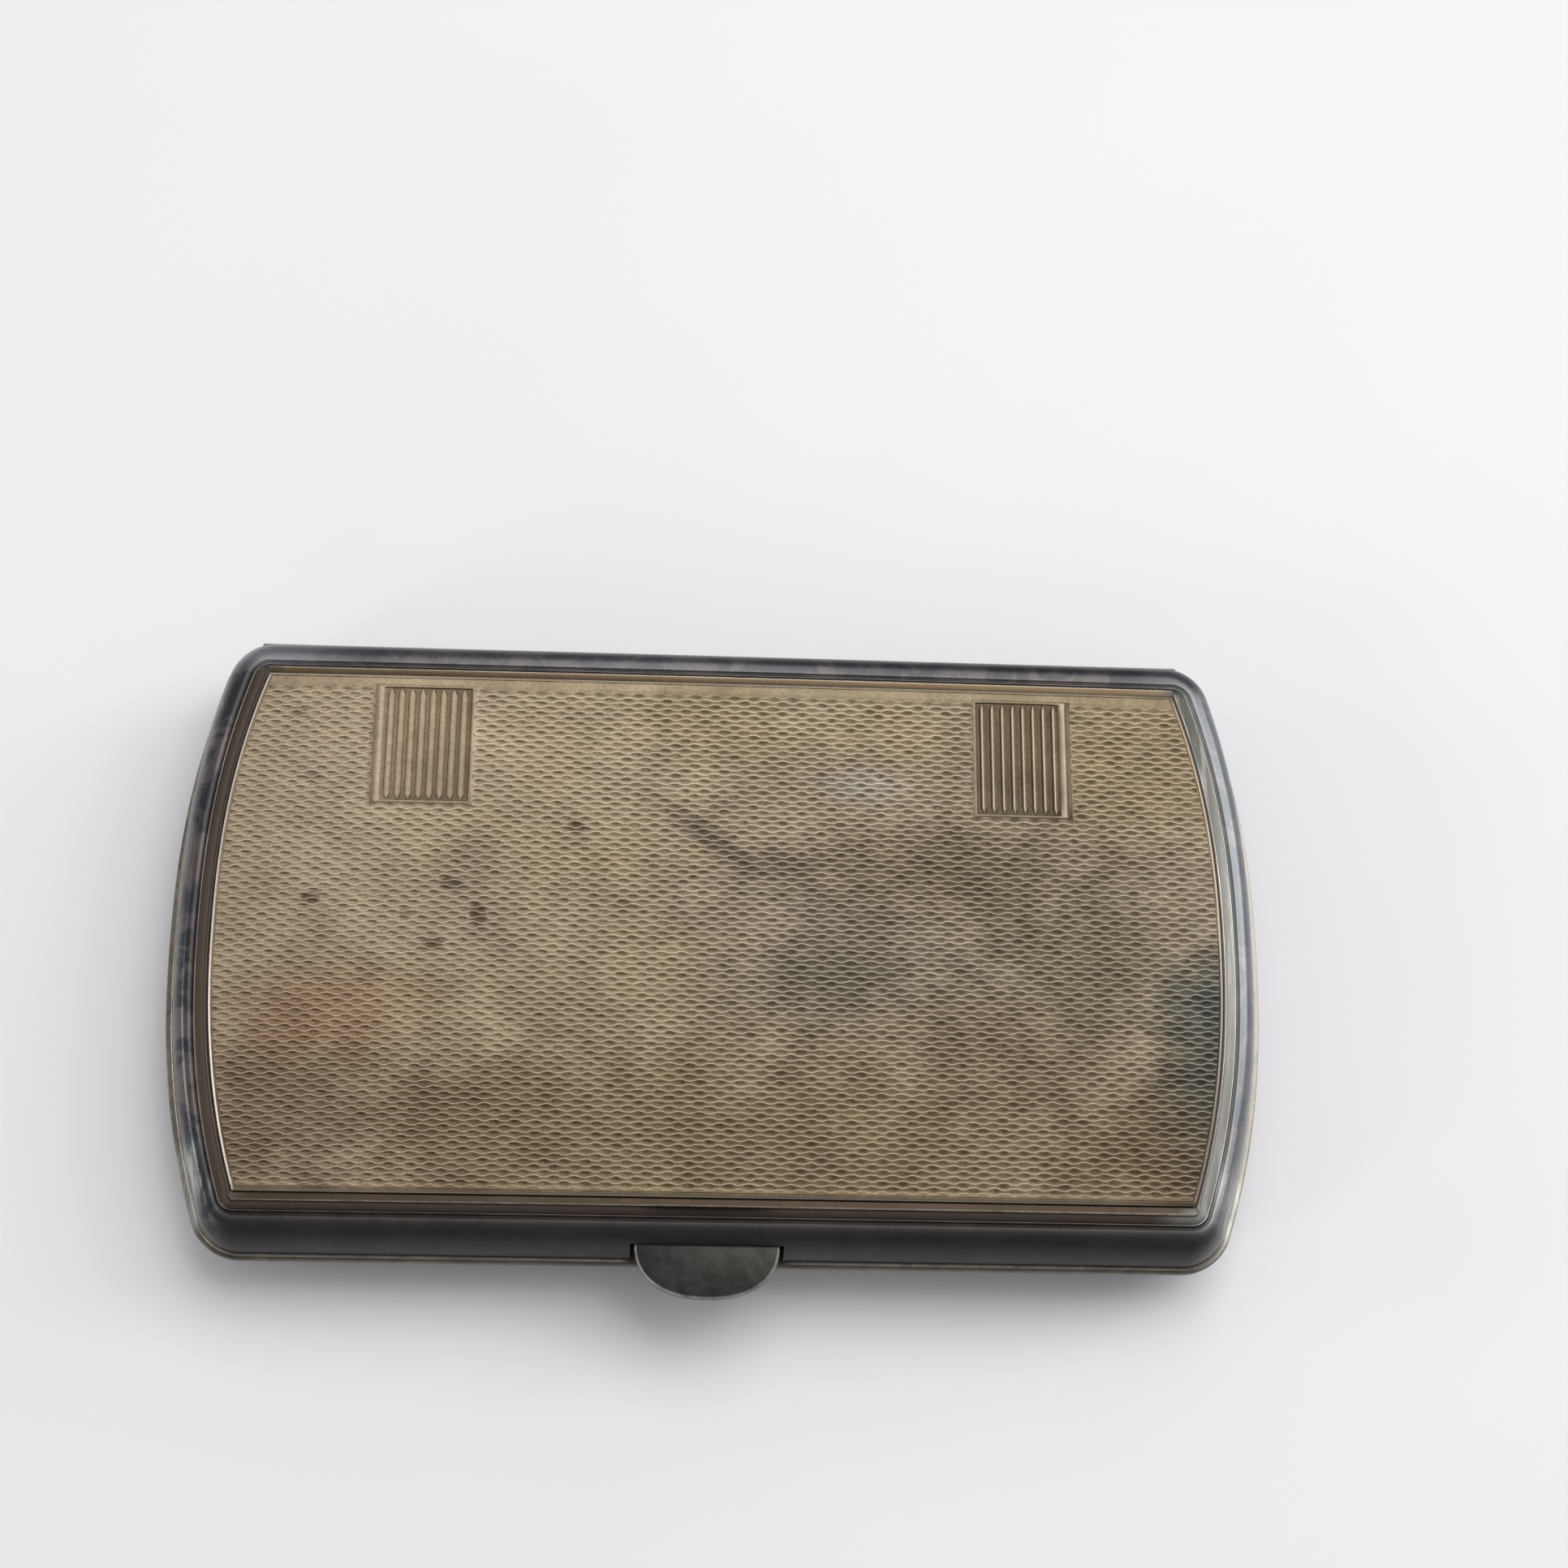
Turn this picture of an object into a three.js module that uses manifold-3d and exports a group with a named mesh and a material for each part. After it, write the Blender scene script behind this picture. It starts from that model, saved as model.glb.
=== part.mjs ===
// A flat silver cigarette case with bowed ends, engine-turned plates in moulded frames,
// a tube hinge along the back and a sprung thumb catch in the middle of the front.
// Millimetres, +Z up, origin in the middle of the face that the case lies on.
// The hinge is towards +Y and the thumb piece towards -Y.

import * as THREE from 'three';
import { mergeVertices } from 'three/addons/utils/BufferGeometryUtils.js';
import Module from 'manifold-3d';

const library = await Module();
library.setup();

// Plan of the engraved panel: straight long sides, bowed short ends, sharp corners
const PANEL_HALF_LENGTH = 57;
const PANEL_HALF_DEPTH = 32.7;
const END_BOW = 4.8;
const END_BOW_POWER = 2.3;

// Heights of the two halves above and below the seam, and the rise of the cover's middle
const BASE_HEIGHT = 8.1;
const COVER_HEIGHT = 8.1;
const COVER_CROWN = 0.5;

// Sheet, plates and the clearances between pieces
const SHEET = 0.8;
const PLATE = 0.8;
const FIT_GAP = 0.3;

// Border round the panel, measured outwards from the panel's edge and down from its face.
// The shelf beside the panel is wide along the long sides and only a line at the ends.
const PANEL_STEP = 0.5;
const SIDE_SHELF = 0.7;
const END_SHELF = 0.15;
const END_RAMP = 1.4;
const RAMP_DROP = 1.6;
const RAMP_HOLLOW = 0.7;
const BEAD_WIDTH = 0.4;
const BEAD_RISE = 0.08;
const GROOVE_WIDTH = 0.35;
const GROOVE_DEPTH = 0.5;
const MOULDING_START = 2.65;
const MOULDING_DROP = 2.3;
const COVER_WALL = 5.45;
const COVER_LIP = 5.8;
const COVER_LIP_HEIGHT = 0.85;
const BASE_WALL = 5.95;
const BASE_LIP = 6.5;
const BASE_LIP_HEIGHT = 1.4;
const SEAM_CHAMFER = 0.2;

// The round moulding is a little narrower at the ends than along the back, and widest in front
const END_NARROWING = 0.3;
const COVER_FRONT_WIDENING = 0.6;
const BASE_FRONT_WIDENING = 0.2;

// Rim flange inside the walls and the ledge that carries each plate
const FLANGE_INNER = 4.3;
const FLANGE_HEIGHT = 1.0;
const LEDGE_REACH = 1.4;
const LEDGE_THICKNESS = 0.7;

// Bezel strip standing inside the seam
const BEZEL_THICKNESS = 0.6;
const BEZEL_RISE = 1.0;
const BEZEL_DEPTH = 3.6;
const BEZEL_BACK_STOP = 1.5;

// Hinge along the back
const HINGE_OUTSIDE = 0.15;
const KNUCKLE_RADIUS = 1.15;
const KNUCKLE_BORE = 0.75;
const PIN_RADIUS = 0.5;
const BARREL_OVERHANG = 2.2;
const KNUCKLE_COUNT = 7;
const BEARER_THICKNESS = 1.05;
const BEARER_HEIGHT = 3.0;
const BEARER_SEAM_GAP = 0.15;

// Thumb piece: a half-round lip on a block that fills the notch in the cover's rim. The whole
// catch sits a little left of the middle.
const CATCH_CENTRE_X = -1.1;
const THUMB_WIDTH = 17.4;
const THUMB_REACH = 11.3;
const THUMB_TOP = 4.45;
const THUMB_LIP_THICKNESS = 1.1;
const THUMB_BLOCK_INNER = 4.7;
const THUMB_ROUNDNESS = 2.3;
const THUMB_THROAT_HEIGHT = 1.6;
const THUMB_THROAT_CURVE = 2.4;
const THUMB_CHAMFER = 0.3;
const NOTCH_SIDE_GAP = 0.45;
const NECK_WIDTH = 10;
const NECK_BOTTOM = 1.3;
const NECK_TOP = 4.1;

// Catch behind the front bezel
const SPRING_LENGTH = 56;
const SPRING_HEIGHT = 2.4;
const SPRING_THICKNESS = 0.4;
const SPRING_TOP = -0.7;
const RIVET_END_MARGIN = 3;
const RIVET_SHANK = 0.5;
const RIVET_HEAD = 1.2;
const RIVET_HEAD_HEIGHT = 0.5;
const HOOK_THICKNESS = 0.4;
const HOOK_STEM_WIDTH = 12;
const NOSE_SIDE_GAP = 0.6;
const NOSE_WIDTH = 2.5;
const NOSE_HEIGHT = 1.2;
const NOSE_GRIP = 0.5;
const KEEPER_WIDTH = 3.6;
const KEEPER_THICKNESS = 0.5;
const KEEPER_REACH = 1.0;

// Elastic bands and their crimped clips
const BAND_WIDTH = 11;
const BAND_THICKNESS = 0.8;
const CLIP_WIDTH = 12;
const CLIP_SHEET = 0.5;
const CLIP_LEAF = 4.5;
const CLIP_WALL_GAP = 0.8;
const BASE_CLIP_TOP = -0.3;

// Two reeded rectangles near the hinge side of the cover's plate
const CARTOUCHE_CENTRE_X = 37.5;
const CARTOUCHE_WIDTH = 12.4;
const CARTOUCHE_LENGTH = 15.7;
const CARTOUCHE_INSET = 1.3;
const REED_COUNT = 10;
const REED_GROOVE_WIDTH = 0.5;
const REED_GROOVE_DEPTH = 0.3;

// Facets
const COVER_SIDE_STEPS = 8;
const BASE_SIDE_STEPS = 1;
const END_STEPS = 12;
const CORNER_STEPS = 4;
const RAMP_STEPS = 3;
const MOULDING_STEPS = 6;
const INNER_STEPS = 4;
const THUMB_STEPS = 4;
const THUMB_ARC_STEPS = 20;
const BEARER_STEPS = 4;
const TUBE_SIDES = 20;
const BORE_SIDES = 12;

const SEAM = BASE_HEIGHT;
const HALF_LENGTH = PANEL_HALF_LENGTH + END_BOW;
const HINGE_Y = PANEL_HALF_DEPTH + COVER_LIP + HINGE_OUTSIDE;
const BARREL_HALF_LENGTH = PANEL_HALF_LENGTH + BARREL_OVERHANG;
const BEZEL_OUTER = FLANGE_INNER - FIT_GAP;
const BEZEL_INNER = BEZEL_OUTER - BEZEL_THICKNESS;
const SPRING_OUTER = BEZEL_INNER - FIT_GAP;
const HOOK_OUTER = SPRING_OUTER - SPRING_THICKNESS - FIT_GAP;
const KEEPER_BOTTOM = FLANGE_HEIGHT + FIT_GAP;
const KEEPER_TOP = KEEPER_BOTTOM + KEEPER_THICKNESS;
const KEEPER_INNER = FLANGE_INNER - KEEPER_REACH;
const NOSE_BOTTOM = KEEPER_TOP + FIT_GAP;
const HOOK_WING_WIDTH = THUMB_WIDTH + 2 * (NOTCH_SIDE_GAP + NOSE_SIDE_GAP + NOSE_WIDTH);
const THUMB_BOTTOM = FIT_GAP;
const FRONT_LIP = COVER_LIP + COVER_FRONT_WIDENING;
const THUMB_THROAT = FRONT_LIP + FIT_GAP / 2;
const RIVET_X = SPRING_LENGTH / 2 - RIVET_END_MARGIN;

const SILVER = { color: 0x5c5b5e, roughness: 0.38, metalness: 0.9 };
const ENGRAVED = { color: 0x9a8b72, roughness: 0.5, metalness: 0.7 };
const GILT = { color: 0xb5a070, roughness: 0.35, metalness: 0.9 };
const STEEL = { color: 0x8a8a8c, roughness: 0.35, metalness: 1.0 };
const ELASTIC = { color: 0x4a4238, roughness: 0.95, metalness: 0.0 };

// Solids: a list of triangles becomes a closed body whose faces point out.

function closedSolid(triangles) {
  const geometry = new THREE.BufferGeometry().setFromPoints(triangles.flat());
  return solidOf(geometry);
}

function solidOf(source) {
  const geometry = source.clone();
  geometry.deleteAttribute('normal');
  geometry.deleteAttribute('uv');
  const merged = mergeVertices(geometry, 1e-5);
  const corners = merged.index.array;
  const kept = [];
  for (let i = 0; i < corners.length; i += 3) {
    const [a, b, c] = [corners[i], corners[i + 1], corners[i + 2]];
    if (a !== b && b !== c && c !== a) kept.push(a, b, c);
  }
  const position = merged.attributes.position;
  if (signedVolume(position, kept) < 0) kept.reverse();
  const mesh = new library.Mesh({
    numProp: 3,
    vertProperties: Float32Array.from(position.array),
    triVerts: Uint32Array.from(kept),
  });
  return new library.Manifold(mesh);
}

function signedVolume(position, corners) {
  const [a, b, c] = [new THREE.Vector3(), new THREE.Vector3(), new THREE.Vector3()];
  let volume = 0;
  for (let i = 0; i < corners.length; i += 3) {
    a.fromBufferAttribute(position, corners[i]);
    b.fromBufferAttribute(position, corners[i + 1]);
    c.fromBufferAttribute(position, corners[i + 2]);
    volume += a.dot(b.cross(c)) / 6;
  }
  return volume;
}

function geometryOf(solid) {
  const mesh = solid.getMesh();
  const geometry = new THREE.BufferGeometry();
  geometry.setAttribute('position', new THREE.BufferAttribute(mesh.vertProperties, 3));
  geometry.setIndex(new THREE.BufferAttribute(mesh.triVerts, 1));
  return geometry.toNonIndexed();
}

function block(x, y, z) {
  const geometry = new THREE.BoxGeometry(x[1] - x[0], y[1] - y[0], z[1] - z[0]);
  geometry.translate((x[0] + x[1]) / 2, (y[0] + y[1]) / 2, (z[0] + z[1]) / 2);
  return solidOf(geometry);
}

// An outline in X and Z, pushed along Y between two places.
function extrudeY(points, y) {
  const shape = new THREE.Shape(points.map(([px, pz]) => new THREE.Vector2(px, pz)));
  const geometry = new THREE.ExtrudeGeometry(shape, { depth: y[1] - y[0], bevelEnabled: false });
  geometry.rotateX(Math.PI / 2);
  geometry.translate(0, y[1], 0);
  return solidOf(geometry);
}

// An outline in Y and Z, with holes, pushed along X between two places.
function extrudeX(points, x, holes = []) {
  const shape = new THREE.Shape(points.map(([py, pz]) => new THREE.Vector2(py, pz)));
  for (const hole of holes) {
    shape.holes.push(new THREE.Path(hole.map(([py, pz]) => new THREE.Vector2(py, pz))));
  }
  const geometry = new THREE.ExtrudeGeometry(shape, { depth: x[1] - x[0], bevelEnabled: false });
  const turn = new THREE.Matrix4().set(0, 0, 1, x[0], 1, 0, 0, 0, 0, 1, 0, 0, 0, 0, 0, 1);
  geometry.applyMatrix4(turn);
  return solidOf(geometry);
}

function circle(y, z, radius, sides) {
  const points = [];
  for (let i = 0; i < sides; i++) {
    const turn = (2 * Math.PI * i) / sides;
    points.push([y + radius * Math.cos(turn), z + radius * Math.sin(turn)]);
  }
  return points;
}

// A round bar along Y, for rivet holes.
function barY(x, z, radius, y) {
  const geometry = new THREE.CylinderGeometry(radius, radius, y[1] - y[0], BORE_SIDES);
  geometry.translate(x, (y[0] + y[1]) / 2, z);
  return solidOf(geometry);
}

// Plan: the panel's edge moved outwards (rounded corners) or inwards (sharp corners).

function endReach(y) {
  return PANEL_HALF_LENGTH + END_BOW * (1 - Math.pow(Math.abs(y) / PANEL_HALF_DEPTH, END_BOW_POWER));
}

function endNormal(y) {
  const share = Math.abs(y) / PANEL_HALF_DEPTH;
  const slope = (END_BOW * END_BOW_POWER * Math.pow(share, END_BOW_POWER - 1)) / PANEL_HALF_DEPTH;
  return new THREE.Vector2(1, Math.sign(y) * slope).normalize();
}

function endPoint(y, out) {
  const normal = endNormal(y);
  return new THREE.Vector2(endReach(y) + out * normal.x, y + out * normal.y);
}

// Where the moved end curve crosses the height y.
function endCrossing(y, out) {
  let foot = y;
  for (let i = 0; i < 8; i++) foot = y - out * endNormal(foot).y;
  return endPoint(foot, out);
}

function rightEnd(out, backOut, frontOut) {
  const points = [];
  const corner = endNormal(PANEL_HALF_DEPTH).angle();
  const limit = out < 0 ? PANEL_HALF_DEPTH + out : PANEL_HALF_DEPTH;
  const cornerPoint = (side, share) => {
    if (out < 0) return endCrossing(side * limit, out);
    const turn = side * THREE.MathUtils.lerp(Math.PI / 2, corner, share);
    const radius = THREE.MathUtils.lerp(side < 0 ? frontOut : backOut, out, share);
    const centre = new THREE.Vector2(PANEL_HALF_LENGTH, side * PANEL_HALF_DEPTH);
    return centre.add(new THREE.Vector2(Math.cos(turn), Math.sin(turn)).multiplyScalar(radius));
  };
  for (let i = 0; i < CORNER_STEPS; i++) points.push(cornerPoint(-1, i / CORNER_STEPS));
  for (let i = 0; i <= END_STEPS; i++) {
    const y = limit * ((2 * i) / END_STEPS - 1);
    points.push(out < 0 ? endCrossing(y, out) : endPoint(y, out));
  }
  for (let i = CORNER_STEPS - 1; i >= 0; i--) points.push(cornerPoint(1, i / CORNER_STEPS));
  return points;
}

function outline(out, sideSteps, backOut = out, frontOut = backOut) {
  const right = rightEnd(out, backOut, frontOut);
  const left = right.map((point) => new THREE.Vector2(-point.x, point.y)).reverse();
  const between = (from, to) => {
    const points = [];
    for (let i = 1; i < sideSteps; i++) points.push(from.clone().lerp(to, i / sideSteps));
    return points;
  };
  const back = between(right[right.length - 1], left[0]);
  const front = between(left[left.length - 1], right[0]);
  return [...right, ...back, ...left, ...front];
}

// Heights: the cover's middle stands a little higher than its ends.

function coverPlace(x, y, up) {
  const crown = 1 + (COVER_CROWN / COVER_HEIGHT) * Math.max(0, 1 - Math.pow(x / HALF_LENGTH, 2));
  return new THREE.Vector3(x, y, SEAM + up * crown);
}

function basePlace(x, y, up) {
  return new THREE.Vector3(x, y, SEAM - up);
}

// A closed section carried all the way round the panel's edge. Its points are [out, up], or
// [out, up, backOut, frontOut] where the long sides have widths of their own.
function sweepRound(section, sideSteps, place) {
  const rings = section.map(([out, up, backOut, frontOut]) => (
    outline(out, sideSteps, backOut, frontOut).map((p) => place(p.x, p.y, up))));
  const triangles = [];
  rings.forEach((ring, i) => {
    const next = rings[(i + 1) % rings.length];
    ring.forEach((point, j) => {
      const k = (j + 1) % ring.length;
      triangles.push([point, next[j], next[k]], [point, next[k], ring[k]]);
    });
  });
  return closedSolid(triangles);
}

function quarterEllipse(centreOut, centreUp, reachOut, reachUp, steps, firstTurn = 0) {
  const points = [];
  for (let i = 0; i <= steps; i++) {
    const turn = THREE.MathUtils.lerp(firstTurn, Math.PI / 2, i / steps);
    points.push([centreOut + reachOut * Math.cos(turn), centreUp + reachUp * Math.sin(turn)]);
  }
  return points;
}

// Section of a moulded frame: step, ramp, bead, groove, round moulding, lip, flange and ledge.
function frameSection(height, wall, lip, lipHeight, frontWidening) {
  const sideShelf = FIT_GAP + SIDE_SHELF;
  const endShelf = FIT_GAP + END_SHELF;
  const shelf = height - PANEL_STEP;
  const rampEnd = endShelf + END_RAMP;
  const rampFoot = shelf - RAMP_DROP;
  const beadEnd = rampEnd + BEAD_WIDTH;
  const ramp = [];
  for (let i = 1; i <= RAMP_STEPS; i++) {
    const share = i / RAMP_STEPS;
    const up = shelf - RAMP_DROP * Math.pow(share, RAMP_HOLLOW);
    const sideOut = THREE.MathUtils.lerp(sideShelf, rampEnd, share);
    ramp.push([THREE.MathUtils.lerp(endShelf, rampEnd, share), up, sideOut]);
  }
  const mouldingTop = height - MOULDING_DROP;
  const outer = quarterEllipse(
    MOULDING_START, lipHeight, wall - MOULDING_START, mouldingTop - lipHeight, MOULDING_STEPS);
  const innerWall = wall - SHEET;
  const firstTurn = Math.asin((FLANGE_HEIGHT + SHEET) / mouldingTop);
  const inner = quarterEllipse(
    MOULDING_START, lipHeight, innerWall - MOULDING_START, mouldingTop - SHEET - lipHeight,
    INNER_STEPS, firstTurn);
  const ledgeTop = height - PLATE - FIT_GAP;
  const ledgeFoot = ledgeTop - LEDGE_THICKNESS;
  const widths = ([out, up]) => {
    const share = THREE.MathUtils.clamp((out - MOULDING_START) / (wall - MOULDING_START), 0, 1);
    return [out - END_NARROWING * share, up, out, out + frontWidening * share];
  };
  const lipPoints = [
    [lip - SEAM_CHAMFER / 2, lipHeight - SEAM_CHAMFER / 2],
    [lip, lipHeight - SEAM_CHAMFER * 1.5],
    [lip, SEAM_CHAMFER],
    [lip - SEAM_CHAMFER, 0],
  ];
  return [
    [FIT_GAP, shelf],
    [endShelf, shelf, sideShelf],
    ...ramp,
    [rampEnd + BEAD_WIDTH / 3, rampFoot + BEAD_RISE],
    [beadEnd, rampFoot + BEAD_RISE / 2],
    [beadEnd + GROOVE_WIDTH / 4, rampFoot - GROOVE_DEPTH],
    [beadEnd + GROOVE_WIDTH, rampFoot - GROOVE_DEPTH],
    ...outer.reverse().map(widths),
    ...lipPoints.map(widths),
    [FLANGE_INNER, 0],
    [FLANGE_INNER, FLANGE_HEIGHT],
    ...inner.map(widths),
    [rampEnd, rampFoot - SHEET - FIT_GAP / 2],
    [endShelf + FIT_GAP, ledgeFoot],
    [-LEDGE_REACH, ledgeFoot],
    [-LEDGE_REACH, ledgeTop],
    [FIT_GAP, ledgeTop],
  ];
}

// The hinge barrel lies in a gap between the two frames' back walls.
function hingeSeatCut() {
  const half = BARREL_HALF_LENGTH + FIT_GAP;
  const clear = KNUCKLE_RADIUS + FIT_GAP;
  return block([-half, half], [PANEL_HALF_DEPTH, HINGE_Y + 2 * clear], [SEAM - clear, SEAM + clear]);
}

function coverFrame() {
  const section = frameSection(
    COVER_HEIGHT, COVER_WALL, COVER_LIP, COVER_LIP_HEIGHT, COVER_FRONT_WIDENING);
  const halfNotch = THUMB_WIDTH / 2 + NOTCH_SIDE_GAP;
  const notch = block([CATCH_CENTRE_X - halfNotch, CATCH_CENTRE_X + halfNotch],
    [-PANEL_HALF_DEPTH - 2 * BASE_LIP, -PANEL_HALF_DEPTH - BEZEL_INNER],
    [SEAM - 1, SEAM + THUMB_TOP + FIT_GAP]);
  return sweepRound(section, COVER_SIDE_STEPS, coverPlace).subtract(hingeSeatCut()).subtract(notch);
}

// Along the back the base's lip is filed flush, so that the cover can swing past it.
function baseFrame() {
  const section = frameSection(BASE_HEIGHT, BASE_WALL, BASE_LIP, BASE_LIP_HEIGHT, BASE_FRONT_WIDENING);
  const flush = PANEL_HALF_DEPTH + COVER_LIP;
  const reach = HALF_LENGTH + 2 * BASE_LIP;
  const backLip = block([-reach, reach], [flush, flush + 2 * BASE_LIP],
    [SEAM - BASE_LIP_HEIGHT - SEAM_CHAMFER / 4, SEAM + 1]);
  return sweepRound(section, BASE_SIDE_STEPS, basePlace).subtract(hingeSeatCut()).subtract(backLip);
}

// Plates: a curved strip in X and Z, pushed along Y and trimmed to the panel's plan.
function plate(height, sideSteps, place) {
  const stations = outline(0, sideSteps).map((p) => p.x).filter((x) => x >= 0).sort((a, b) => a - b);
  const half = [...new Set(stations.map((x) => x.toFixed(6)))].map(Number);
  const all = [...half.slice().reverse().filter((x) => x > 0).map((x) => -x), ...half];
  const ends = [-HALF_LENGTH - 1, ...all, HALF_LENGTH + 1];
  const top = ends.map((x) => [x, place(x, 0, height).z]);
  const bottom = ends.map((x) => [x, place(x, 0, height - PLATE).z]).reverse();
  const strip = extrudeY([...top, ...bottom], [-PANEL_HALF_DEPTH - 1, PANEL_HALF_DEPTH + 1]);
  const plan = new THREE.Shape(outline(0, sideSteps));
  const depth = BASE_HEIGHT + 2 * COVER_HEIGHT;
  const prism = new THREE.ExtrudeGeometry(plan, { depth, bevelEnabled: false });
  prism.translate(0, 0, -1);
  return strip.intersect(solidOf(prism));
}

// Ten reeds are left standing between cut grooves, inside two cross grooves.
function cartoucheGrooves(centreX) {
  const back = PANEL_HALF_DEPTH - CARTOUCHE_INSET;
  const front = back - CARTOUCHE_LENGTH;
  const face = coverPlace(centreX, 0, COVER_HEIGHT).z;
  const half = REED_GROOVE_WIDTH / 2;
  const pitch = CARTOUCHE_WIDTH / REED_COUNT;
  const vee = (middle) => [
    [middle - 2 * half, face + REED_GROOVE_DEPTH], [middle, face - REED_GROOVE_DEPTH],
    [middle + 2 * half, face + REED_GROOVE_DEPTH],
  ];
  const grooves = [];
  for (let i = 0; i <= REED_COUNT; i++) {
    grooves.push(extrudeY(vee(centreX - CARTOUCHE_WIDTH / 2 + i * pitch), [front, back]));
  }
  for (const y of [front, back]) {
    const span = [centreX - CARTOUCHE_WIDTH / 2, centreX + CARTOUCHE_WIDTH / 2];
    grooves.push(extrudeX(vee(y), span));
  }
  return grooves;
}

function coverPanel() {
  const grooves = [...cartoucheGrooves(-CARTOUCHE_CENTRE_X), ...cartoucheGrooves(CARTOUCHE_CENTRE_X)];
  const blank = plate(COVER_HEIGHT, COVER_SIDE_STEPS, coverPlace);
  return grooves.reduce((solid, groove) => solid.subtract(groove), blank);
}

// The bezel runs round the front and the two ends, and leaves the hinge side open.
function baseBezel() {
  const section = [
    [BEZEL_INNER, -BEZEL_RISE],
    [BEZEL_OUTER, -BEZEL_RISE],
    [BEZEL_OUTER, BEZEL_DEPTH],
    [BEZEL_INNER, BEZEL_DEPTH],
  ];
  const reach = HALF_LENGTH + 2 * BASE_LIP;
  const open = block([-reach, reach], [PANEL_HALF_DEPTH - BEZEL_BACK_STOP, PANEL_HALF_DEPTH + 2 * BASE_LIP],
    [SEAM - 2 * BEZEL_DEPTH, SEAM + 2 * BEZEL_RISE]);
  const front = [-PANEL_HALF_DEPTH - FLANGE_INNER, -PANEL_HALF_DEPTH - SPRING_OUTER];
  const halfNotch = THUMB_WIDTH / 2 + NOTCH_SIDE_GAP;
  const neckFoot = SEAM + THUMB_BOTTOM - FIT_GAP;
  const notch = block([CATCH_CENTRE_X - halfNotch, CATCH_CENTRE_X + halfNotch], front,
    [neckFoot, neckFoot + 2 * BEZEL_RISE]);
  const holes = [-RIVET_X, RIVET_X].map((x) => (
    barY(CATCH_CENTRE_X + x, rivetHeight(), RIVET_SHANK + FIT_GAP, front)));
  return [open, notch, ...holes].reduce(
    (solid, tool) => solid.subtract(tool), sweepRound(section, BASE_SIDE_STEPS, basePlace));
}

// Hinge: a channelled bearer in each half, seven tubes by turns, and one pin.

function hingeBearer(side) {
  const channel = KNUCKLE_RADIUS + FIT_GAP;
  const outer = PANEL_HALF_DEPTH + FLANGE_INNER;
  const inner = outer - BEARER_THICKNESS;
  const shoulder = KNUCKLE_RADIUS;
  const firstTurn = Math.asin(BEARER_SEAM_GAP / channel);
  const lastTurn = Math.asin(shoulder / channel);
  const arc = [];
  for (let i = 0; i <= BEARER_STEPS; i++) {
    const turn = THREE.MathUtils.lerp(firstTurn, lastTurn, i / BEARER_STEPS);
    arc.push([HINGE_Y - channel * Math.cos(turn), SEAM + side * channel * Math.sin(turn)]);
  }
  const points = [
    [inner, SEAM + side * BEARER_SEAM_GAP], ...arc, [outer, SEAM + side * shoulder],
    [outer, SEAM + side * BEARER_HEIGHT], [inner, SEAM + side * BEARER_HEIGHT],
  ];
  return extrudeX(points, [-PANEL_HALF_LENGTH, PANEL_HALF_LENGTH]);
}

function knuckle(index) {
  const length = (2 * BARREL_HALF_LENGTH - (KNUCKLE_COUNT - 1) * FIT_GAP) / KNUCKLE_COUNT;
  const start = -BARREL_HALF_LENGTH + index * (length + FIT_GAP);
  const tube = circle(HINGE_Y, SEAM, KNUCKLE_RADIUS, TUBE_SIDES);
  return extrudeX(tube, [start, start + length], [circle(HINGE_Y, SEAM, KNUCKLE_BORE, BORE_SIDES)]);
}

function hingePin() {
  return extrudeX(circle(HINGE_Y, SEAM, PIN_RADIUS, BORE_SIDES), [-BARREL_HALF_LENGTH, BARREL_HALF_LENGTH]);
}

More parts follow.
